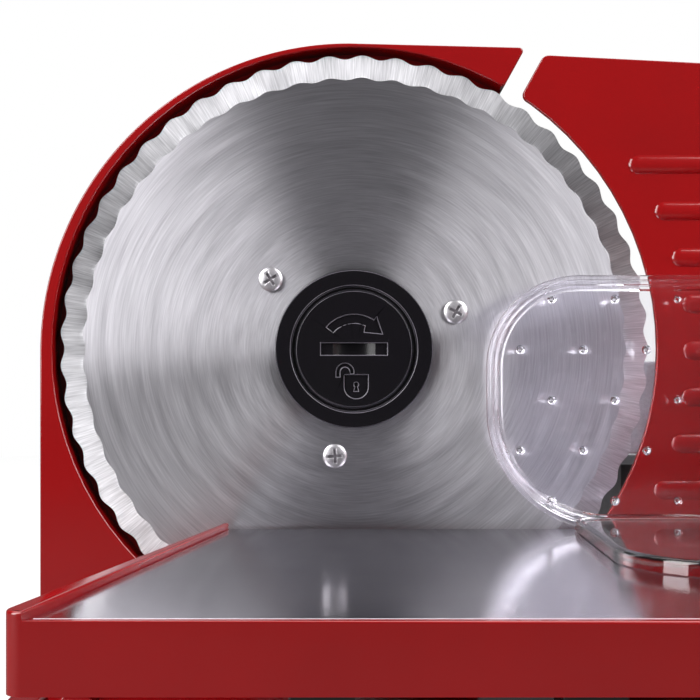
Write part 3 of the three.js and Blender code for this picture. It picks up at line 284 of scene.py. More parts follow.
def rod(name, node, axis, finish, body, slot, chamfer=0.6):
    """A round bar in the place of a CAD bar, along the axis's direction, with chamfered ends."""
    low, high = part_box(node)
    centre = (low + high) / 2
    half = max((high - low) * Vector(axis)) / 2 / MM
    wide = sorted(high - low)[0] / 2 / MM
    outline = [
        (0, -half),
        (wide - chamfer, -half),
        (wide, -half + chamfer),
        (wide, half - chamfer),
        (wide - chamfer, half),
        (0, half),
    ]
    return finished(name, turned(outline, centre, axis), [finish], body, slot, node)


rod("rail_rod_front", "carriage_rail_front", (1, 0, 0), rail_steel, "base", "shaft_steel")
rod("rail_rod_rear", "carriage_rail_rear", (1, 0, 0), rail_steel, "base", "shaft_steel")

# ---- Switch and cord inlet ----------------------------------------------------------------------------
# A rocker switch snapped into the base's front, and the collar at the back that the cord goes into.
# Both are black, the rocker polished by use and the rubber collar left with the mould's grain.
rocker_black = moulded("rocker_black_pbt", "#1B1A1C", "#141315", 0.22, 0.9, 0.003)

shape = merged_copy("switch_body")
round_edges(shape, 0.4, 2)
finished("switch_frame", shape, [black_abs], "base", "black_plastic", "switch_body")
shape = merged_copy("switch_rocker")
round_edges(shape, 0.7, 3)
finished("switch_rocker_cap", shape, [rocker_black], "rocker", "black_plastic", "switch_rocker")
shape = merged_copy("cord_inlet")
round_edges(shape, 0.5, 3)
finished("cord_inlet_collar", shape, [foot_rubber], "base", "rubber", "cord_inlet")

# ---- Tower --------------------------------------------------------------------------------------------
# The red housing around the blade, one deep ABS moulding with a round shoulder and a recess for the
# blade. An arch reaches over the blade to the right, and the front edges have a small round.
tower_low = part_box("main_housing")[0]
blade_low, blade_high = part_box("blade")
axis_x = (blade_low.x + blade_high.x) / 2
axis_z = (blade_low.z + blade_high.z) / 2
blade_front = blade_low.y
TOWER_ROUND = 0.55  # the wall is only 1.3 mm wide at the top, between the recess and the outside
ARCH_TIP_ROUND = 1.4


def from_axis(point):
    """How far a point lies from the blade's axis, in millimetres."""
    return math.hypot(point.x - axis_x, point.z - axis_z) / MM


def on_tower_front(edge):
    return max(v.co.y for v in edge.verts) < tower_low.y + 0.01 * MM


def on_arch_tip(edge):
    """The sharp lower corner where the recess comes out of the arch's end."""
    here = middle(edge)
    across = abs(edge.verts[0].co.y - edge.verts[1].co.y) > 2 * MM
    beyond = here.x > axis_x + 30 * MM and here.z > axis_z + 60 * MM
    return across and beyond and from_axis(here) < 103


shape = merged_copy("main_housing", within=0.15)
round_edges(shape, ARCH_TIP_ROUND, 6, on_arch_tip, clamp=False)
round_edges(shape, TOWER_ROUND, 4, on_tower_front, clamp=False)
finished("tower_shell", shape, [red_abs], "base", "red_plastic", "main_housing")

# ---- Motor cover --------------------------------------------------------------------------------------
# The red ABS hood on the tower's back, over the motor. Four screws hold it, sunk in round openings,
# and slots in it let the motor's air out. Its outline is rounded more than the edges of its slots.
COVER_ROUND = 1.8
VENT_ROUND = 0.5
VENT_ACROSS = -42  # from the blade's axis to the middle of the slots
VENT_DOWN = -52
SCREW_OPENING = 6

shape = merged_copy("motor_cover")
cover_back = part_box("motor_cover")[1].y


def on_cover_back(edge):
    return min(v.co.y for v in edge.verts) > cover_back - 0.01 * MM


def on_vent(edge):
    """The vent slots lie well inside the cover's outline."""
    across = middle(edge).x - axis_x - VENT_ACROSS * MM
    up = middle(edge).z - axis_z - VENT_DOWN * MM
    return abs(across) < 24 * MM and abs(up) < 27 * MM


def at_screw(edge):
    """The round openings that the screw heads stand in."""
    boxes = [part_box(f"cover_screw_{number}") for number in range(1, 5)]
    gaps = [(middle(edge) - (low + high) / 2) * Vector((1, 0, 1)) for low, high in boxes]
    return min(gap.length for gap in gaps) < SCREW_OPENING * MM


def on_cover_outline(edge):
    return on_cover_back(edge) and not on_vent(edge) and not at_screw(edge)


round_edges(shape, COVER_ROUND, 5, on_cover_outline, clamp=False)
round_edges(shape, VENT_ROUND, 2, lambda e: on_cover_back(e) and on_vent(e))
finished("motor_cover_shell", shape, [red_abs], "base", "red_plastic", "motor_cover")


# ---- Cross-recess screws ------------------------------------------------------------------------------
# Four hold the motor cover and three the blade: pan heads cold-formed in stainless steel.
# The crosses are punched in, and the heads have a low dome and a dull, scuffed skin.
screw_steel = ground_steel("scuffed_stainless", "#CFCCCE", "#95929A", 0.4, 0.7, slope=0.02)
# The punched cross gets a darker steel than the head: painted shade in the recess.
cross_painted_shade = ground_steel("painted_shade_stainless", "#A19DA2", "#6A666B", 0.5, 0.4, slope=0.02)
CROSS_WIDTH = 0.95
CROSS_SPAN = 4.4
CROSS_DEPTH = 0.9


def separate(name, shape, finish=None):
    """A shape as a loose object, to cut another with."""
    mesh = bpy.data.meshes.new(name)
    shape.to_mesh(mesh)
    shape.free()
    if finish:
        mesh.materials.append(finish)
    made = bpy.data.objects.new(name, mesh)
    bpy.context.scene.collection.objects.link(made)
    return made


def combined(shape, others, operation):
    """The shape cut by, or joined with, the other shapes."""
    body = separate("body", shape)
    tools = [separate("tool", other) for other in others]
    for tool in tools:
        step = body.modifiers.new("step", "BOOLEAN")
        step.operation = operation
        step.solver = "EXACT"
        step.object = tool
    bpy.context.view_layer.update()
    seen = body.evaluated_get(bpy.context.evaluated_depsgraph_get())
    result = bmesh.new()
    result.from_mesh(seen.data)
    for used in [body] + tools:
        bpy.data.objects.remove(used)
    bmesh.ops.remove_doubles(result, verts=result.verts, dist=0.002 * MM)
    return result


def block(low, high):
    """A box between two corners."""
    shape = bmesh.new()
    low = Vector(low)
    high = Vector(high)
    size = Matrix.Diagonal((*(high - low), 1))
    bmesh.ops.create_cube(shape, size=1, matrix=Matrix.Translation((low + high) / 2) @ size)
    return shape


def pan_head(centre, axis, radius, height, turn):
    """A screw's head with a cross punched in, its front at centre and its body along the axis."""
    outline = [
        (0, 0),
        (radius * 0.45, height * 0.05),
        (radius * 0.8, height * 0.24),
        (radius, height * 0.6),
        (radius, height),
        (0, height),
    ]
    head = turned(outline, centre, axis, 40)
    arms = []
    for quarter in [0, 1]:
        arm = bmesh.new()
        size = Matrix.Diagonal((CROSS_SPAN * MM, CROSS_DEPTH * 2 * MM, CROSS_WIDTH * MM, 1))
        place = Matrix.Translation(centre) @ Matrix.Rotation(turn + quarter * math.pi / 2, 4, "Y")
        bmesh.ops.create_cube(arm, size=1, matrix=place @ size)
        arms.append(arm)
    head = combined(head, arms, "DIFFERENCE")
    round_edges(head, 0.1, 1)
    for face in head.faces:
        spot = face.calc_center_median() - Vector(centre)
        inward = abs(spot.y) > 0.3 * MM and math.hypot(spot.x, spot.z) < CROSS_SPAN / 2 * MM
        # The faces inside the cross take the darker steel: painted shade.
        face.material_index = 1 if inward and abs(spot.y) < (CROSS_DEPTH + 0.1) * MM else 0
    return head


for number in range(1, 5):
    node = f"cover_screw_{number}"
    low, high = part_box(node)
    centre = Vector(((low.x + high.x) / 2, high.y, (low.z + high.z) / 2))
    shape = pan_head(centre, (0, -1, 0), (high.x - low.x) / 2 / MM, 2.0, 0.3 * number)
    name = f"motor_cover_screw_{number}"
    finished(name, shape, [screw_steel, cross_painted_shade], "base", "screw_steel", node)

# ---- Drive inside the tower ---------------------------------------------------------------------------
# A motor turns a steel worm, the worm a nylon wheel, and the wheel the blade's spindle in bronze bushes.
# All of it is hidden by the tower, so the machined and stacked pieces keep their working shapes.
# Laminated sheet iron: dull, with the edges of the half-millimetre sheets showing as lines along Z.
motor_iron = ground_steel("laminated_iron", "#77777B", "#515257", 0.5, 1.0, (0.05, 0.05, 2), 0.03)
# Turned and ground shaft steel, bright with fine lines around it.
shaft_steel = ground_steel("ground_shaft", "#CDCED2", "#A9AAB0", 0.22, 0.6, (1, 0.2, 1))
# Oil-soaked sintered bronze: matt and pocked.
sintered_bronze = ground_steel("sintered_bronze", "#B5803F", "#8D6230", 0.48, 0.5, slope=0.02)
# Enamelled copper: a warm brown gloss.
copper = ground_steel("worn_copper", "#B06A40", "#84492A", 0.35, 0.8, (1, 1, 0.2))
# Pressed and galvanised bracket steel: light grey, with a faint spangle.
bracket_steel = ground_steel("galvanised_steel", "#B4B6B8", "#96989B", 0.42, 2.5, slope=0.006)
# Nylon: milky, half matt and slightly translucent at its edges.
nylon = moulded("milky_nylon", "#DDD9CB", "#CFCBBB", 0.5, 0.8, 0.01)

inside_finishes = {
    motor_iron: ["motor_stator", "armature_core"],
    shaft_steel: ["spindle", "motor_shaft", "worm"],
    sintered_bronze: ["front_bush", "rear_bush", "motor_bearing_lower"]
    + ["motor_bearing_middle", "motor_bearing_top"],
    copper: ["commutator", "brush_front", "brush_rear"],
    bracket_steel: ["bearing_bridge", "motor_bracket"],
    nylon: ["worm_wheel", "motor_fan"],
}
for finish, nodes in inside_finishes.items():
    for node in nodes:
        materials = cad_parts[node].data.materials
        materials.clear()
        materials.append(finish)

# ---- Blade --------------------------------------------------------------------------------------------
# A stainless disc with a wavy edge. Its face is turned on a lathe, so light fans out from its middle,
# and a band along the edge is ground off towards the back, its scratches running straight to the teeth.
BLADE_RADIUS = 95
BLADE_BORE = 25.6
BLADE_THICK = 1.2
TEETH = 53
TOOTH_DEPTH = 1.4
BEVEL_START = 87.2
BEVEL_WAVE = 0.45
BEVEL_DROP = 0.95  # how far back the ground cone is at the full radius
CONE_START = 88.8
POINTS_PER_TOOTH = 16


def tooth_wave(angle):
    """1 at a tooth's crest and 0 between two teeth."""
    return (1 + math.cos(TEETH * angle)) / 2


def blade_ring(shape, radius_at, drop_at):
    """A ring of points about the axis: its radius follows the angle, and its depth the radius."""
    made = bmesh.ops.create_circle(shape, cap_ends=False, segments=TEETH * POINTS_PER_TOOTH, radius=1)
    for point in made["verts"]:
        angle = math.atan2(point.co.y, point.co.x)
        radius = radius_at(angle)
        outward = Vector((math.cos(angle), 0, math.sin(angle))) * radius
        outward.y = drop_at(radius)
        point.co = Vector((axis_x, blade_front, axis_z)) + outward * MM
    return list({edge for point in made["verts"] for edge in point.link_edges})


def edge_radius(angle):
    return BLADE_RADIUS - TOOTH_DEPTH * (1 - tooth_wave(angle))


def bevel_line(angle):
    """Where the face ends: the grinding wheel leaves a slightly wavy line."""
    return BEVEL_START + BEVEL_WAVE * (2 * tooth_wave(angle) - 1)


def cone_drop(radius):
    """How far behind the face the ground cone lies at a radius, in millimetres."""
    return BEVEL_DROP * (radius - BEVEL_START) / (BLADE_RADIUS - BEVEL_START)


def from_the_axis(material):
    """Object coordinates about the blade's axis, with the depth left out, and their length."""
    place = add(material, "TexCoord").outputs["Object"]
    centred = add(
        material,
        "Mapping",
        {"Vector": place, "Location": (-axis_x, 0, -axis_z), "Scale": (1, 0, 1)},
    )
    reach = add(material, "VectorMath", {0: centred.outputs[0]}, operation="LENGTH")
    way = add(material, "VectorMath", {0: centred.outputs[0]}, operation="NORMALIZE")
    return reach.outputs["Value"], way.outputs["Vector"]


def scratched(material, reach, way, across, along):
    """Noise drawn out along one polar direction: how fine it is from the axis out, and around it."""
    wide = add(material, "VectorMath", {0: way, 3: along}, operation="SCALE")
    out = add(material, "Math", {0: reach, 1: across}, operation="MULTIPLY")
    outward = add(material, "CombineXYZ", {"Y": out.outputs[0]})
    joined = add(material, "VectorMath", {0: wide.outputs[0], 1: outward.outputs[0]}, operation="ADD")
    return add(material, "TexNoise", {"Vector": joined.outputs[0], "Scale": 1.0, "Detail": 3})


def around_the_axis(material, way):
    """The direction of the lathe's marks, turning with the blade."""
    around = add(material, "VectorMath", {0: way, 1: (0, 1, 0)}, operation="CROSS_PRODUCT")
    turned_with = add(
        material,
        "VectorTransform",
        {"Vector": around.outputs["Vector"]},
        vector_type="VECTOR",
        convert_from="OBJECT",
        convert_to="WORLD",
    )
    return turned_with.outputs["Vector"]


def turned_blade_steel():
    """Turned stainless: rings a third of a millimetre apart, drawn at that size, in broken arcs."""
    material = new_finish("turned_stainless")
    reach, way = from_the_axis(material)
    rings = scratched(material, reach, way, per_metre(0.45), 5.0)
    sheen = scratched(material, reach, way, per_metre(3.2), 2.2)
    colour = add(
        material,
        "Mix",
        {0: rings.outputs["Fac"], 6: linear("#D6D4D9"), 7: linear("#9A979E")},
        data_type="RGBA",
    )
    rough = add(material, "MapRange", {"Value": sheen.outputs["Fac"], 3: 0.27, 4: 0.42})
    bump = add(
        material,
        "Bump",
        {"Height": rings.outputs["Fac"], "Distance": 0.012 * MM, "Strength": 0.55},
    )
    shader = add(
        material,
        "BsdfPrincipled",
        {
            "Base Color": colour.outputs[2],
            "Metallic": 1.0,
            "Roughness": rough.outputs[0],
            "Anisotropic": 0.9,
            "Anisotropic Rotation": 0.25,
            "Tangent": around_the_axis(material, way),
            "Normal": bump.outputs[0],
        },
    )
    add(material, "OutputMaterial", {"Surface": shader.outputs[0]})
    return material


def ground_bevel_steel():
    """The ground band: scratches from the face out to the teeth, a fifth of a millimetre wide."""
    material = new_finish("ground_stainless_bevel")
    reach, way = from_the_axis(material)
    scratches = scratched(material, reach, way, per_metre(9), 240.0)
    patches = scratched(material, reach, way, per_metre(14), 16.0)
    colour = add(
        material,
        "Mix",
        {0: scratches.outputs["Fac"], 6: linear("#F4F3F6"), 7: linear("#8B898F")},
        data_type="RGBA",
    )
    rough = add(material, "MapRange", {"Value": patches.outputs["Fac"], 3: 0.24, 4: 0.4})
    bump = add(
        material,
        "Bump",
        {"Height": scratches.outputs["Fac"], "Distance": 0.006 * MM, "Strength": 0.5},
    )
    shader = add(
        material,
        "BsdfPrincipled",
        {
            "Base Color": colour.outputs[2],
            "Metallic": 1.0,
            "Roughness": rough.outputs[0],
            "Anisotropic": 0.85,
            "Tangent": around_the_axis(material, way),
            "Normal": bump.outputs[0],
        },
    )
    add(material, "OutputMaterial", {"Surface": shader.outputs[0]})
    return material


shape = bmesh.new()
rings = [
    blade_ring(shape, lambda angle: BLADE_BORE, lambda radius: 0),
    blade_ring(shape, bevel_line, lambda radius: 0),
    blade_ring(shape, lambda angle: CONE_START, cone_drop),
    blade_ring(shape, edge_radius, cone_drop),
    blade_ring(shape, edge_radius, lambda radius: BLADE_THICK),
    blade_ring(shape, lambda angle: BLADE_BORE, lambda radius: BLADE_THICK),
]
for inner, outer in zip(rings, rings[1:] + rings[:1]):
    band = bmesh.ops.bridge_loops(shape, edges=inner + outer)
    for face in band["faces"]:
        face.material_index = 1 if inner in rings[1:3] else 0
bmesh.ops.recalc_face_normals(shape, faces=shape.faces)
finished(
    "toothed_blade",
    shape,
    [turned_blade_steel(), ground_bevel_steel()],
    "blade",
    "blade_steel",
    "blade",
    crisp=math.radians(4),
)

# ---- Blade screws -------------------------------------------------------------------------------------
# The same stainless pan heads as on the motor cover, holding the blade on its hub.
# They are sunk almost flush in the disc and scuffed by the screwdriver.
for number in range(1, 4):
    node = f"blade_screw_{number}"
    low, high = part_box(node)
    centre = Vector(((low.x + high.x) / 2, low.y, (low.z + high.z) / 2))
    shape = pan_head(centre, (0, 1, 0), (high.x - low.x) / 2 / MM, 1.2, 0.5 * number)
    name = f"blade_screw_head_{number}"
    finished(name, shape, [screw_steel, cross_painted_shade], "blade", "screw_steel", node)

# ---- Hub and blade lock -------------------------------------------------------------------------------
# A black moulded hub carries the blade, and a disc with a coin slot locks it on the spindle.
# An arrow and an open padlock are sunk into the disc to show the way to turn it.
hub_black = moulded("hub_black_abs", "#0D0B0F", "#0A090B", 0.24, 0.9, 0.003, 9, 0.2)
# The bevels take a lighter grey than the faces: a painted highlight along every edge of the hub and the
# lock.
hub_painted_highlight = moulded("painted_highlight_edge_abs", "#66626A", "#434047", 0.2, 0.9, 0.003, 9)
HUB_RADIUS = 25.3
HUB_PROUD = 2.5
POCKET_RADIUS = 20.4
LOCK_RADIUS = 18.6
LOCK_FRONT = -2.2
SLOT_LENGTH = 21.5
SLOT_WIDTH = 4
SLOT_WALL = 0.9
SLOT_FLOOR_RADIUS = 12
SLOT_DEPTH = 3.2
SIGN_DEPTH = 0.6

blade_centre = Vector((axis_x, blade_front, axis_z))
hub_outline = [
    (HUB_RADIUS, 1.5),
    (HUB_RADIUS, -HUB_PROUD),
    (POCKET_RADIUS, -HUB_PROUD),
    (POCKET_RADIUS - 0.2, -0.4),
    (18.95, -0.4),
    (18.95, 2.1),
    (6.3, 2.1),
    (6.3, 8.1),
    (16, 8.1),
    (16, 5.5),
    (42, 5.5),
    (42, 1.5),
    (HUB_RADIUS, 1.5),
]
shape = turned(hub_outline, blade_centre, (0, 1, 0), 128)
# The rounded edges take the lighter grey: painted highlight.
round_edges(shape, 0.2, 2, finish=1)
finished("blade_hub_ring", shape, [hub_black, hub_painted_highlight], "blade", "black_plastic", "blade_hub")


def on_disc(x, z, y=LOCK_FRONT):
    """A place on the lock disc, in millimetres from its middle."""
    return blade_centre + Vector((x, y, z)) * MM


def sunk(outline, depth):
    """A cutter with this outline, given in millimetres on the disc, reaching that deep into it."""
    shape = bmesh.new()
    face = shape.faces.new([shape.verts.new(on_disc(x, z, LOCK_FRONT - 1)) for x, z in outline])
    grown = bmesh.ops.extrude_face_region(shape, geom=[face])
    moved = [item for item in grown["geom"] if isinstance(item, bmesh.types.BMVert)]
    bmesh.ops.translate(shape, verts=moved, vec=(0, (1 + depth) * MM, 0))
    bmesh.ops.recalc_face_normals(shape, faces=shape.faces)
    return shape


def arc(centre, radius, start, end, steps=14):
    """Points on a circle, from one angle to another in degrees."""
    turns = [math.radians(start + (end - start) * i / steps) for i in range(steps + 1)]
    return [(centre[0] + radius * math.cos(t), centre[1] + radius * math.sin(t)) for t in turns]


half_slot = SLOT_LENGTH / 2
half_width = SLOT_WIDTH / 2
slot = [
    (-half_slot, -half_width),
    (half_slot, -half_width),
    (half_slot, half_width),
    (-half_slot, half_width),
]
ARROW_MIDDLE = (0, -0.5)
arrow = arc(ARROW_MIDDLE, 8.8, 140, 66) + [(3.2, 5.4), (9.2, 4.8), (7.2, 10.6)]
arrow += arc(ARROW_MIDDLE, 11.7, 57, 140)
PADLOCK_MIDDLE = (0.7, -12.1)
padlock = arc(PADLOCK_MIDDLE, 3.9, 180, 360) + [(4.6, -8.2), (-3.2, -8.2)]
SHACKLE_MIDDLE = (-2.9, -7.4)
shackle = arc(SHACKLE_MIDDLE, 2.9, 180, 0) + [(0, -7.95), (-1.3, -7.95)]
shackle += arc(SHACKLE_MIDDLE, 1.6, 0, 180) + [(-4.5, -9.0), (-5.8, -9.0)]
keyhole = arc((0.7, -11.4), 0.8, -60, 240) + [(-0.1, -13.6), (1.5, -13.6)]

disc_outline = [
    (0, 1.8),
    (LOCK_RADIUS, 1.8),
    (LOCK_RADIUS, LOCK_FRONT),
    (0, LOCK_FRONT),
]
shape = turned(disc_outline, blade_centre, (0, 1, 0), 128)
# The slot's floor is round like the coin that fits it, so it shines near one end.
coin_middle = on_disc(0, 0, LOCK_FRONT + SLOT_DEPTH - SLOT_FLOOR_RADIUS)
coin_outline = [
    (0, -half_width),
    (SLOT_FLOOR_RADIUS, -half_width),
    (SLOT_FLOOR_RADIUS, half_width),
    (0, half_width),
]
cutters = [turned(coin_outline, coin_middle, (0, 0, 1), 96)]
cutters += [sunk(slot, SLOT_WALL), sunk(arrow, SIGN_DEPTH), sunk(padlock, SIGN_DEPTH)]
cutters += [sunk(shackle, SIGN_DEPTH), sunk(keyhole, SIGN_DEPTH * 2)]
shape = combined(shape, cutters, "DIFFERENCE")
# The rounded edges, those of the slot and the signs too, take the lighter grey: painted highlight.
round_edges(shape, 0.14, 2, clamp=False, finish=1)
finished(
    "coin_slot_lock",
    shape,
    [hub_black, hub_painted_highlight],
    "blade_lock",
    "black_plastic",
    "lock_disc",
)

# ---- Slicing thickness plate --------------------------------------------------------------------------
# A red ABS plate beside the blade that the food leans on. Its round edge follows the blade,
# and raised beads with soft ends run across it so that wet food doesn't stick.
plate_low, plate_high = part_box("thickness_plate")
PLATE_THICK = 2.5
BEAD_COUNT = 8
BEAD_PITCH = 15
FIRST_BEAD = 59.5
BEAD_WIDTH = 6
BEAD_HEIGHT = 1
BEAD_SUNK = 1.2  # the bead is the top of a rounder bar, sunk this far into the plate
BEAD_REACH = 106.7
BEAD_LIMIT = 106
BEAD_END = 3
plate_front = plate_high.y - PLATE_THICK * MM

shape = combined(
    merged_copy("thickness_plate"),
    [block((plate_low.x - MM, plate_front, plate_low.z - MM), plate_high + Vector((MM, MM, MM)))],
    "INTERSECT",
)
bmesh.ops.dissolve_limit(shape, angle_limit=math.radians(0.5), verts=shape.verts, edges=shape.edges)


def on_plate_nose(edge):
    """The corner where the plate's slanting edge meets its round one."""
    across = abs(edge.verts[0].co.y - edge.verts[1].co.y) > 2 * MM
    return across and from_axis(middle(edge)) < 98.5 and middle(edge).z > axis_z + 60 * MM


round_edges(shape, 2.2, 6, on_plate_nose, clamp=False)
round_edges(shape, 0.6, 3)
beads = bmesh.new()
for row in range(BEAD_COUNT):
    up = FIRST_BEAD - row * BEAD_PITCH
    half = BEAD_WIDTH / 2
    start = min(math.sqrt(BEAD_REACH**2 - up**2), BEAD_LIMIT) * MM + axis_x + half * MM
    length = plate_high.x - (BEAD_END + half) * MM - start
    wide = half / math.sqrt(1 - (BEAD_SUNK / (BEAD_SUNK + BEAD_HEIGHT)) ** 2)
    size = Matrix.Diagonal((wide * MM, (BEAD_SUNK + BEAD_HEIGHT) * MM, wide * MM, 1))
    centre = (start, plate_front + BEAD_SUNK * MM, axis_z + up * MM)
    place = Matrix.Translation(centre) @ size
    turn = Matrix.Rotation(math.pi / 2, 4, "Y")
    dome = bmesh.ops.create_uvsphere(
        beads, u_segments=32, v_segments=20, radius=1, matrix=place @ turn
    )
    far_half = [point for point in dome["verts"] if point.co.x > start + 0.05 * MM]
    bmesh.ops.translate(beads, verts=far_half, vec=(length, 0, 0))
shape = combined(shape, [beads], "UNION")
finished(
    "slicing_thickness_plate",
    shape,
    [red_abs],
    "thickness_slide",
    "red_plastic",
    "thickness_plate",
)

# ---- Plate bracket and guide --------------------------------------------------------------------------
# The plate stands on a die-cast bracket that slides back on two rods in a black guide.
# The casting is shot-blasted: light grey, even and matt, with softened edges.
blasted_zinc = ground_steel("blasted_zinc_casting", "#CBCACF", "#B3B2B7", 0.55, 0.9, slope=0.02)
shape = merged_copy("plate_carrier")
round_edges(shape, 0.9, 3)
finished("plate_bracket", shape, [blasted_zinc], "thickness_slide", "carrier_metal", "plate_carrier")
shape = merged_copy("plate_guide")
round_edges(shape, 0.8, 2)
finished("bracket_guide", shape, [black_abs], "base", "black_plastic", "plate_guide")
slide_steel = ground_steel("ground_slide_rod", "#D2D3D6", "#AEB0B5", 0.2, 0.5, (1, 0.04, 1))
rod("slide_rod_left", "guide_rod_left", (0, 1, 0), slide_steel, "thickness_slide", "shaft_steel")
rod("slide_rod_right", "guide_rod_right", (0, 1, 0), slide_steel, "thickness_slide", "shaft_steel")
rod("setting_screw", "plate_screw", (0, 1, 0), slide_steel, "thickness_slide", "shaft_steel")

# ---- Thickness dial -----------------------------------------------------------------------------------
# A fluted black knob at the back that draws the plate in and out, moulded like the hub.
# Its rim is rounded for the hand, and a raised bar across its face shows how far it is turned.
dial_low, dial_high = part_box("thickness_dial")
dial_face = Vector(((dial_low.x + dial_high.x) / 2, dial_high.y, (dial_low.z + dial_high.z) / 2))
POCKET_EDGE = 3.4
POCKET_DEPTH = 1.6
BAR_WIDTH = 5
pocket_radius = (dial_high.x - dial_low.x) / 2 / MM - POCKET_EDGE
pocket_outline = [(0, -POCKET_DEPTH), (pocket_radius, -POCKET_DEPTH), (pocket_radius, 1), (0, 1)]
half_bar = Vector((BAR_WIDTH / 2, 3, 40)) * MM
pocket = combined(
    turned(pocket_outline, dial_face, (0, 1, 0), 64),
    [block(dial_face - half_bar, dial_face + half_bar)],
    "DIFFERENCE",
)
shape = combined(merged_copy("thickness_dial"), [pocket], "DIFFERENCE")
round_edges(shape, 0.6, 3, lambda e: middle(e).y > dial_high.y - (POCKET_DEPTH + 0.1) * MM)
finished("fluted_dial", shape, [black_abs], "thickness_dial", "black_plastic", "thickness_dial")

# ---- Carriage -----------------------------------------------------------------------------------------
# A red ABS frame with a raised rim on its left and a wall on its right, running on the rails by four
# black shoes. The rim and the front lip have a soft crown that catches a long highlight.
tray_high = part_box("tray_plate")[1]
frame_low, frame_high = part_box("carriage_frame")


def on_rim(edge):
    """The crown of the raised rim on the left."""
    return min(v.co.z for v in edge.verts) > frame_high.z - 0.1 * MM


def on_lip(edge):
    """The outer top edge of the front lip and of the right side."""
    here = middle(edge)
    outside = here.y < frame_low.y + 4 * MM or here.x > frame_high.x - 2 * MM
    level = abs(edge.verts[0].co.z - tray_high.z) + abs(edge.verts[1].co.z - tray_high.z) < 0.2 * MM
    in_pocket = frame_low.y + 1.5 * MM < here.y and here.x < frame_high.x - 2 * MM
    return outside and level and not in_pocket and here.x > frame_low.x + 4.05 * MM


shape = merged_copy("carriage_frame")
round_edges(shape, 0.7, 5, on_rim, clamp=False)
round_edges(shape, 1.0, 5, on_lip, clamp=False)
finished("carriage_tray_frame", shape, [red_abs], "carriage", "red_plastic", "carriage_frame")

shape = merged_copy("carriage_end_wall")
round_edges(shape, 1.4, 4)
finished("carriage_wall", shape, [red_abs], "carriage", "red_plastic", "carriage_end_wall")

for side in ["front_left", "front_right", "rear_left", "rear_right"]:
    shape = merged_copy("rail_shoe_" + side)
    round_edges(shape, 0.7, 2)
    name = "sliding_shoe_" + side
    finished(name, shape, [black_abs], "carriage", "black_plastic", "rail_shoe_" + side)

# ---- Tray plate ---------------------------------------------------------------------------------------
# A satin stainless sheet laid flush in the frame, its front edge rolled down so that it shines.
# It is brushed along X, so whatever stands on it mirrors as a soft smear towards the front.


def brushed_tray_steel():
    """Brushed stainless: hairlines along X, drawn a third of a millimetre wide."""
    material = new_finish("brushed_tray_stainless")
    place = add(material, "TexCoord").outputs["Object"]
    along = add(material, "Mapping", {"Vector": place, "Scale": (0.03, 1, 1)})
    hair = add(
        material,
        "TexNoise",
        {"Vector": along.outputs[0], "Scale": per_metre(0.35), "Detail": 3},
    )
    smudge = add(material, "TexNoise", {"Vector": place, "Scale": per_metre(30), "Detail": 2})
    colour = add(
        material,
        "Mix",
        {0: smudge.outputs["Fac"], 6: linear("#CFCDD3"), 7: linear("#B7B5BC")},
        data_type="RGBA",
    )
    rough = add(material, "MapRange", {"Value": smudge.outputs["Fac"], 3: 0.1, 4: 0.17})
    bump = add(
        material,
        "Bump",
        {"Height": hair.outputs["Fac"], "Distance": 0.003 * MM, "Strength": 0.35},
    )
    shader = add(
        material,
        "BsdfPrincipled",
        {
            "Base Color": colour.outputs[2],
            "Metallic": 1.0,
            "Roughness": rough.outputs[0],
            "Normal": bump.outputs[0],
        },
    )
    add(material, "OutputMaterial", {"Surface": shader.outputs[0]})
    return material


shape = merged_copy("tray_plate")
round_edges(shape, 0.55, 3, lambda e: middle(e).z > tray_high.z - 0.1 * MM)
finished("tray_sheet", shape, [brushed_tray_steel()], "carriage", "tray_steel", "tray_plate")

# ---- Pusher -------------------------------------------------------------------------------------------
# A clear moulded hand guard that presses the food to the blade: a face with a raised border,
# a foot, and a side that slides along the carriage's wall. Cone-shaped studs on its back hold the food.
PUSHER_THICK = 3
TOP_CORNER = 29
BOTTOM_CORNER = 38
FOOT_LEFT = 28
FOOT_THICK = 4
FOOT_CORNER = 30
FOOT_ROUND = 1.5
SIDE_THICK = 4
STUD_HEIGHT = 2.4
STUD_RADIUS = 1.7
STUD_PITCH_X = 20
STUD_PITCH_Z = 16
STUD_ROWS = 5
STUD_START = 10.8
TOP_STUD = 73
BOLT_HOLE_RADIUS = 3.3
BORDER_GROOVE = [(0.25, -0.9), (0.3, 0), (0.25, 0.9), (0.7, 0)]
BORDER_STEPS = [(0.9, 0)] + BORDER_GROOVE * 2 + [(0.6, -1.2)]


def clear_styrene():
    """Clear moulded plastic: water-bright, slightly wavy, with a breath of haze from washing."""
    material = new_finish("clear_moulded_styrene")
    place = add(material, "TexCoord").outputs["Object"]
    haze = add(material, "TexNoise", {"Vector": place, "Scale": per_metre(14), "Detail": 3})
    rough = add(material, "MapRange", {"Value": haze.outputs["Fac"], 3: 0.015, 4: 0.07})
    wave = add(material, "TexNoise", {"Vector": place, "Scale": per_metre(9), "Detail": 1})
    bump = add(
        material,
        "Bump",
        {"Height": wave.outputs["Fac"], "Distance": 0.05 * MM, "Strength": 0.25},
    )
    shader = add(
        material,
        "BsdfPrincipled",
        {
            "Base Color": linear("#F7F6FA"),
            "Roughness": rough.outputs[0],
            "IOR": 1.5,
            "Transmission Weight": 1.0,
            "Normal": bump.outputs[0],
        },
    )
    # Light passes through it instead of leaving a black shadow behind it.
    passing = add(material, "BsdfTransparent", {"Color": linear("#E9E8EE")})
    ray = add(material, "LightPath")
    either = add(
        material,
        "MixShader",
        {0: ray.outputs["Is Shadow Ray"], 1: shader.outputs[0], 2: passing.outputs[0]},
    )
    add(material, "OutputMaterial", {"Surface": either.outputs[0]})
    return material


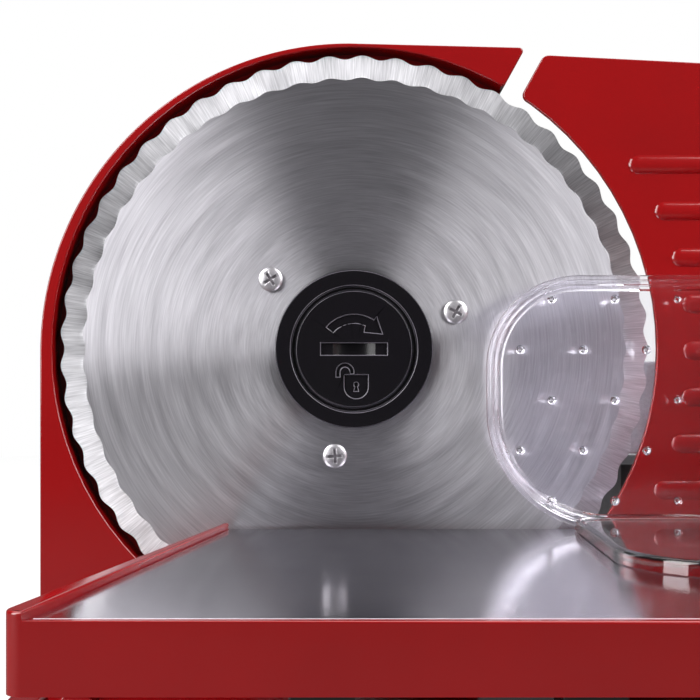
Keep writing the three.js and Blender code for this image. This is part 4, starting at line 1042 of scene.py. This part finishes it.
def slab(corners, depth, rounds):
    """A flat slab: its corners in metres, how far it is pushed out, and a radius for some corners."""
    shape = bmesh.new()
    points = [shape.verts.new(corner) for corner in corners]
    shape.faces.new(points)
    for index, radius in rounds.items():
        bmesh.ops.bevel(
            shape,
            geom=[points[index]],
            offset=radius * MM,
            offset_type="OFFSET",
            segments=20,
            profile=0.5,
            affect="VERTICES",
            material=-1,
        )
    grown = bmesh.ops.extrude_face_region(shape, geom=list(shape.faces))
    moved = [item for item in grown["geom"] if isinstance(item, bmesh.types.BMVert)]
    bmesh.ops.translate(shape, verts=moved, vec=depth)
    bmesh.ops.recalc_face_normals(shape, faces=shape.faces)
    return shape


pusher_low, pusher_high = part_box("pusher")
face_back = pusher_high.y - STUD_HEIGHT * MM
left = pusher_low.x
right = pusher_high.x
bottom = pusher_low.z
top = pusher_high.z

face_corners = [
    (left, face_back, bottom),
    (right, face_back, bottom),
    (right, face_back, top),
    (left, face_back, top),
]
guard = slab(face_corners, (0, -PUSHER_THICK * MM, 0), {0: BOTTOM_CORNER, 3: TOP_CORNER})
round_edges(guard, 0.5, 3, lambda e: middle(e).x < right - MM and middle(e).z > bottom - MM)
front_face = max(guard.faces, key=lambda face: -face.calc_center_median().y + face.calc_area())
for width, depth in BORDER_STEPS:
    bmesh.ops.inset_region(
        guard,
        faces=[front_face],
        thickness=width * MM,
        depth=depth * MM,
        use_even_offset=True,
        use_boundary=True,
    )

foot_corners = [
    (left + FOOT_LEFT * MM, face_back - MM, bottom),
    (left + FOOT_LEFT * MM, pusher_low.y, bottom),
    (right, pusher_low.y, bottom),
    (right, face_back - MM, bottom),
]
foot = slab(foot_corners, (0, 0, FOOT_THICK * MM), {1: FOOT_CORNER, 2: 4})


def on_foot_top(edge):
    return middle(edge).z > bottom + MM and middle(edge).y < face_back - 1.5 * MM


round_edges(foot, FOOT_ROUND, 5, on_foot_top, clamp=False)

side_corners = [
    (right - SIDE_THICK * MM, pusher_low.y + 4 * MM, bottom + MM),
    (right - SIDE_THICK * MM, face_back - MM, bottom + MM),
    (right - SIDE_THICK * MM, face_back - MM, top),
    (right - SIDE_THICK * MM, pusher_low.y + 4 * MM, bottom + (top - bottom) * 0.55),
]
side = slab(side_corners, (SIDE_THICK * MM, 0, 0), {3: TOP_CORNER})
round_edges(side, 0.6, 2, lambda e: middle(e).y < face_back - 2 * MM)

studs = bmesh.new()
for row in range(STUD_ROWS):
    shift = STUD_PITCH_X / 2 if row % 2 == 0 else 0
    x = left + (STUD_START + shift) * MM
    z = bottom + (TOP_STUD - STUD_PITCH_Z * row) * MM
    while x < right - 7 * MM:
        place = Matrix.Translation((x, face_back + (STUD_HEIGHT - 0.6) / 2 * MM, z))
        bmesh.ops.create_cone(
            studs,
            cap_ends=True,
            segments=20,
            radius1=STUD_RADIUS * MM,
            radius2=STUD_RADIUS * 0.3 * MM,
            depth=(STUD_HEIGHT + 0.6) * MM,
            matrix=place @ Matrix.Rotation(-math.pi / 2, 4, "X"),
        )
        x += STUD_PITCH_X * MM
round_edges(studs, 0.3, 2, lambda e: middle(e).y > face_back + MM, math.radians(40))

bolt_low, bolt_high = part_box("pusher_bolt")
bolt_middle = (bolt_low + bolt_high) / 2
hole_outline = [
    (0, -60),
    (BOLT_HOLE_RADIUS, -60),
    (BOLT_HOLE_RADIUS, 60),
    (0, 60),
]
bolt_hole = turned(hole_outline, bolt_middle, (1, 0, 0), 40)
guard = combined(guard, [foot, side, studs], "UNION")
guard = combined(guard, [bolt_hole], "DIFFERENCE")
finished("clear_pusher", guard, [clear_styrene()], "pusher", "clear_plastic", "pusher")

# ---- Pusher bolt and grip -----------------------------------------------------------------------------
# A steel bolt through the pusher's side, and outside the wall a fluted black knob to hold it by.
# The knob is moulded with a crowned end, so it has no sharp edge in the hand.
bolt_length = (bolt_high.x - bolt_low.x) / MM
bolt_outline = [
    (0, 0),
    (4.6, 0),
    (5.7, 0.5),
    (6, 1.3),
    (6, 3),
    (3, 3),
    (3, bolt_length - 0.5),
    (2.5, bolt_length),
    (0, bolt_length),
]
bolt_start = Vector((bolt_low.x, bolt_middle.y, bolt_middle.z))
shape = turned(bolt_outline, bolt_start, (1, 0, 0), 48)
finished("pusher_bolt_turned", shape, [rail_steel], "pusher", "shaft_steel", "pusher_bolt")

GRIP_FLUTES = 12
grip_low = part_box("pusher_grip")[0]
grip_start = Vector((grip_low.x, bolt_middle.y, bolt_middle.z))
grip_outline = [
    (3.3, 9.5),
    (3.3, 0),
    (9.5, 0),
    (11.2, 0.6),
    (12.1, 1.8),
    (12.5, 4),
    (13, 9),
    (13, 13.4),
    (12.4, 15.4),
    (11, 16.9),
    (8.5, 17.7),
    (4, 18),
    (0, 18),
    (0, 9.5),
    (3.3, 9.5),
]
shape = turned(grip_outline, grip_start, (1, 0, 0), GRIP_FLUTES * 8)
for point in shape.verts:
    spoke = point.co - grip_start
    around = math.atan2(spoke.z, spoke.y)
    reach = math.hypot(spoke.y, spoke.z) / MM
    if reach > 9:
        hollow = 0.07 * (reach - 9) / 4 * (1 - math.cos(GRIP_FLUTES * around)) / 2
        point.co.y -= spoke.y * hollow
        point.co.z -= spoke.z * hollow
finished("fluted_grip", shape, [black_abs], "pusher", "black_plastic", "pusher_grip")

# ---- Studio -------------------------------------------------------------------------------------------
# A floor and a room that look white, with a tall soft box on each side of the camera and one above.
# The boxes stand close by, so the turned blade shines left and right and stays dark above and below.
FLOOR_RADIUS = 1.5
floor_paint = new_finish("white_floor_paint")
floor_place = add(floor_paint, "TexCoord").outputs["Object"]
floor_cloud = add(floor_paint, "TexNoise", {"Vector": floor_place, "Scale": 3.0, "Detail": 2})
floor_colour = add(
    floor_paint,
    "Mix",
    {0: floor_cloud.outputs["Fac"], 6: linear("#6A6A6A"), 7: linear("#646464")},
    data_type="RGBA",
)
# The floor glows for the eye only, and is grey to the slicer, so that it doesn't light it from below.
floor_seen = add(floor_paint, "LightPath")
floor_glow = add(
    floor_paint,
    "Math",
    {0: floor_seen.outputs["Is Camera Ray"], 1: 0.9},
    operation="MULTIPLY",
)
floor_shader = add(
    floor_paint,
    "BsdfPrincipled",
    {
        "Base Color": floor_colour.outputs[2],
        "Roughness": 0.9,
        "Emission Color": (1, 1, 1, 1),
        "Emission Strength": floor_glow.outputs[0],
    },
)
add(floor_paint, "OutputMaterial", {"Surface": floor_shader.outputs[0]})
shape = bmesh.new()
bmesh.ops.create_circle(shape, cap_ends=True, segments=96, radius=FLOOR_RADIUS)
floor = separate("studio_floor", shape, floor_paint)


def soft_box(name, place, aim, width, height, power):
    """A rectangular lamp that faces a point."""
    lamp = bpy.data.lights.new(name, "AREA")
    lamp.shape = "RECTANGLE"
    lamp.size = width
    lamp.size_y = height
    lamp.energy = power
    made = bpy.data.objects.new(name, lamp)
    bpy.context.scene.collection.objects.link(made)
    made.visible_camera = False
    made.location = place
    made.rotation_euler = (Vector(aim) - Vector(place)).to_track_quat("-Z", "Y").to_euler()


aim = (axis_x, blade_front, axis_z)
soft_box("left_box", (-0.62, -0.38, 0.5), aim, 0.42, 0.9, 14)
soft_box("right_box", (0.58, -0.38, 0.6), aim, 0.42, 0.8, 12)
soft_box("top_box", (0.0, 0.6, 1.3), aim, 1.8, 0.8, 16)

world = bpy.data.worlds.new("white_room")
bpy.context.scene.world = world
world.use_nodes = True
world.node_tree.nodes.clear()
seen = add(world, "LightPath")
room = add(world, "Background", {"Color": (0.55, 0.55, 0.57, 1), "Strength": 0.25})
backdrop = add(world, "Background", {"Color": (1, 1, 1, 1), "Strength": 1.0})
# Light that is turned back inside the clear plastic meets the dim room and not the backdrop. It is told
# from the light that goes straight through by the number of surfaces it has crossed.
crossed = add(world, "Math", {0: seen.outputs["Ray Depth"], 1: 2.0}, operation="MODULO")
through = add(
    world,
    "Math",
    {0: seen.outputs["Is Transmission Ray"], 1: crossed.outputs[0]},
    operation="MULTIPLY",
)
straight = add(
    world,
    "Math",
    {0: seen.outputs["Is Camera Ray"], 1: through.outputs[0]},
    operation="MAXIMUM",
)
either = add(
    world,
    "MixShader",
    {0: straight.outputs[0], 1: room.outputs[0], 2: backdrop.outputs[0]},
)
add(world, "OutputWorld", {"Surface": either.outputs[0]})

bpy.context.scene.view_settings.view_transform = "Standard"

# ---- Camera -------------------------------------------------------------------------------------------
# It stands level with the blade's axis, straight in front of it and a little under half a metre away.
# Its lens is long enough to fill the frame with the tower, the plate and the carriage.
CAMERA_DISTANCE = 412
LENS = 65.67
camera = bpy.data.objects.new("camera", bpy.data.cameras.new("camera"))
bpy.context.scene.collection.objects.link(camera)
camera.data.sensor_width = 36
camera.data.lens = LENS
camera.location = (axis_x - 1.3 * MM, blade_front - CAMERA_DISTANCE * MM, axis_z - 0.3 * MM)
camera.rotation_euler = (math.pi / 2, 0, 0)
camera.data.clip_start = 0.01
bpy.context.scene.camera = camera
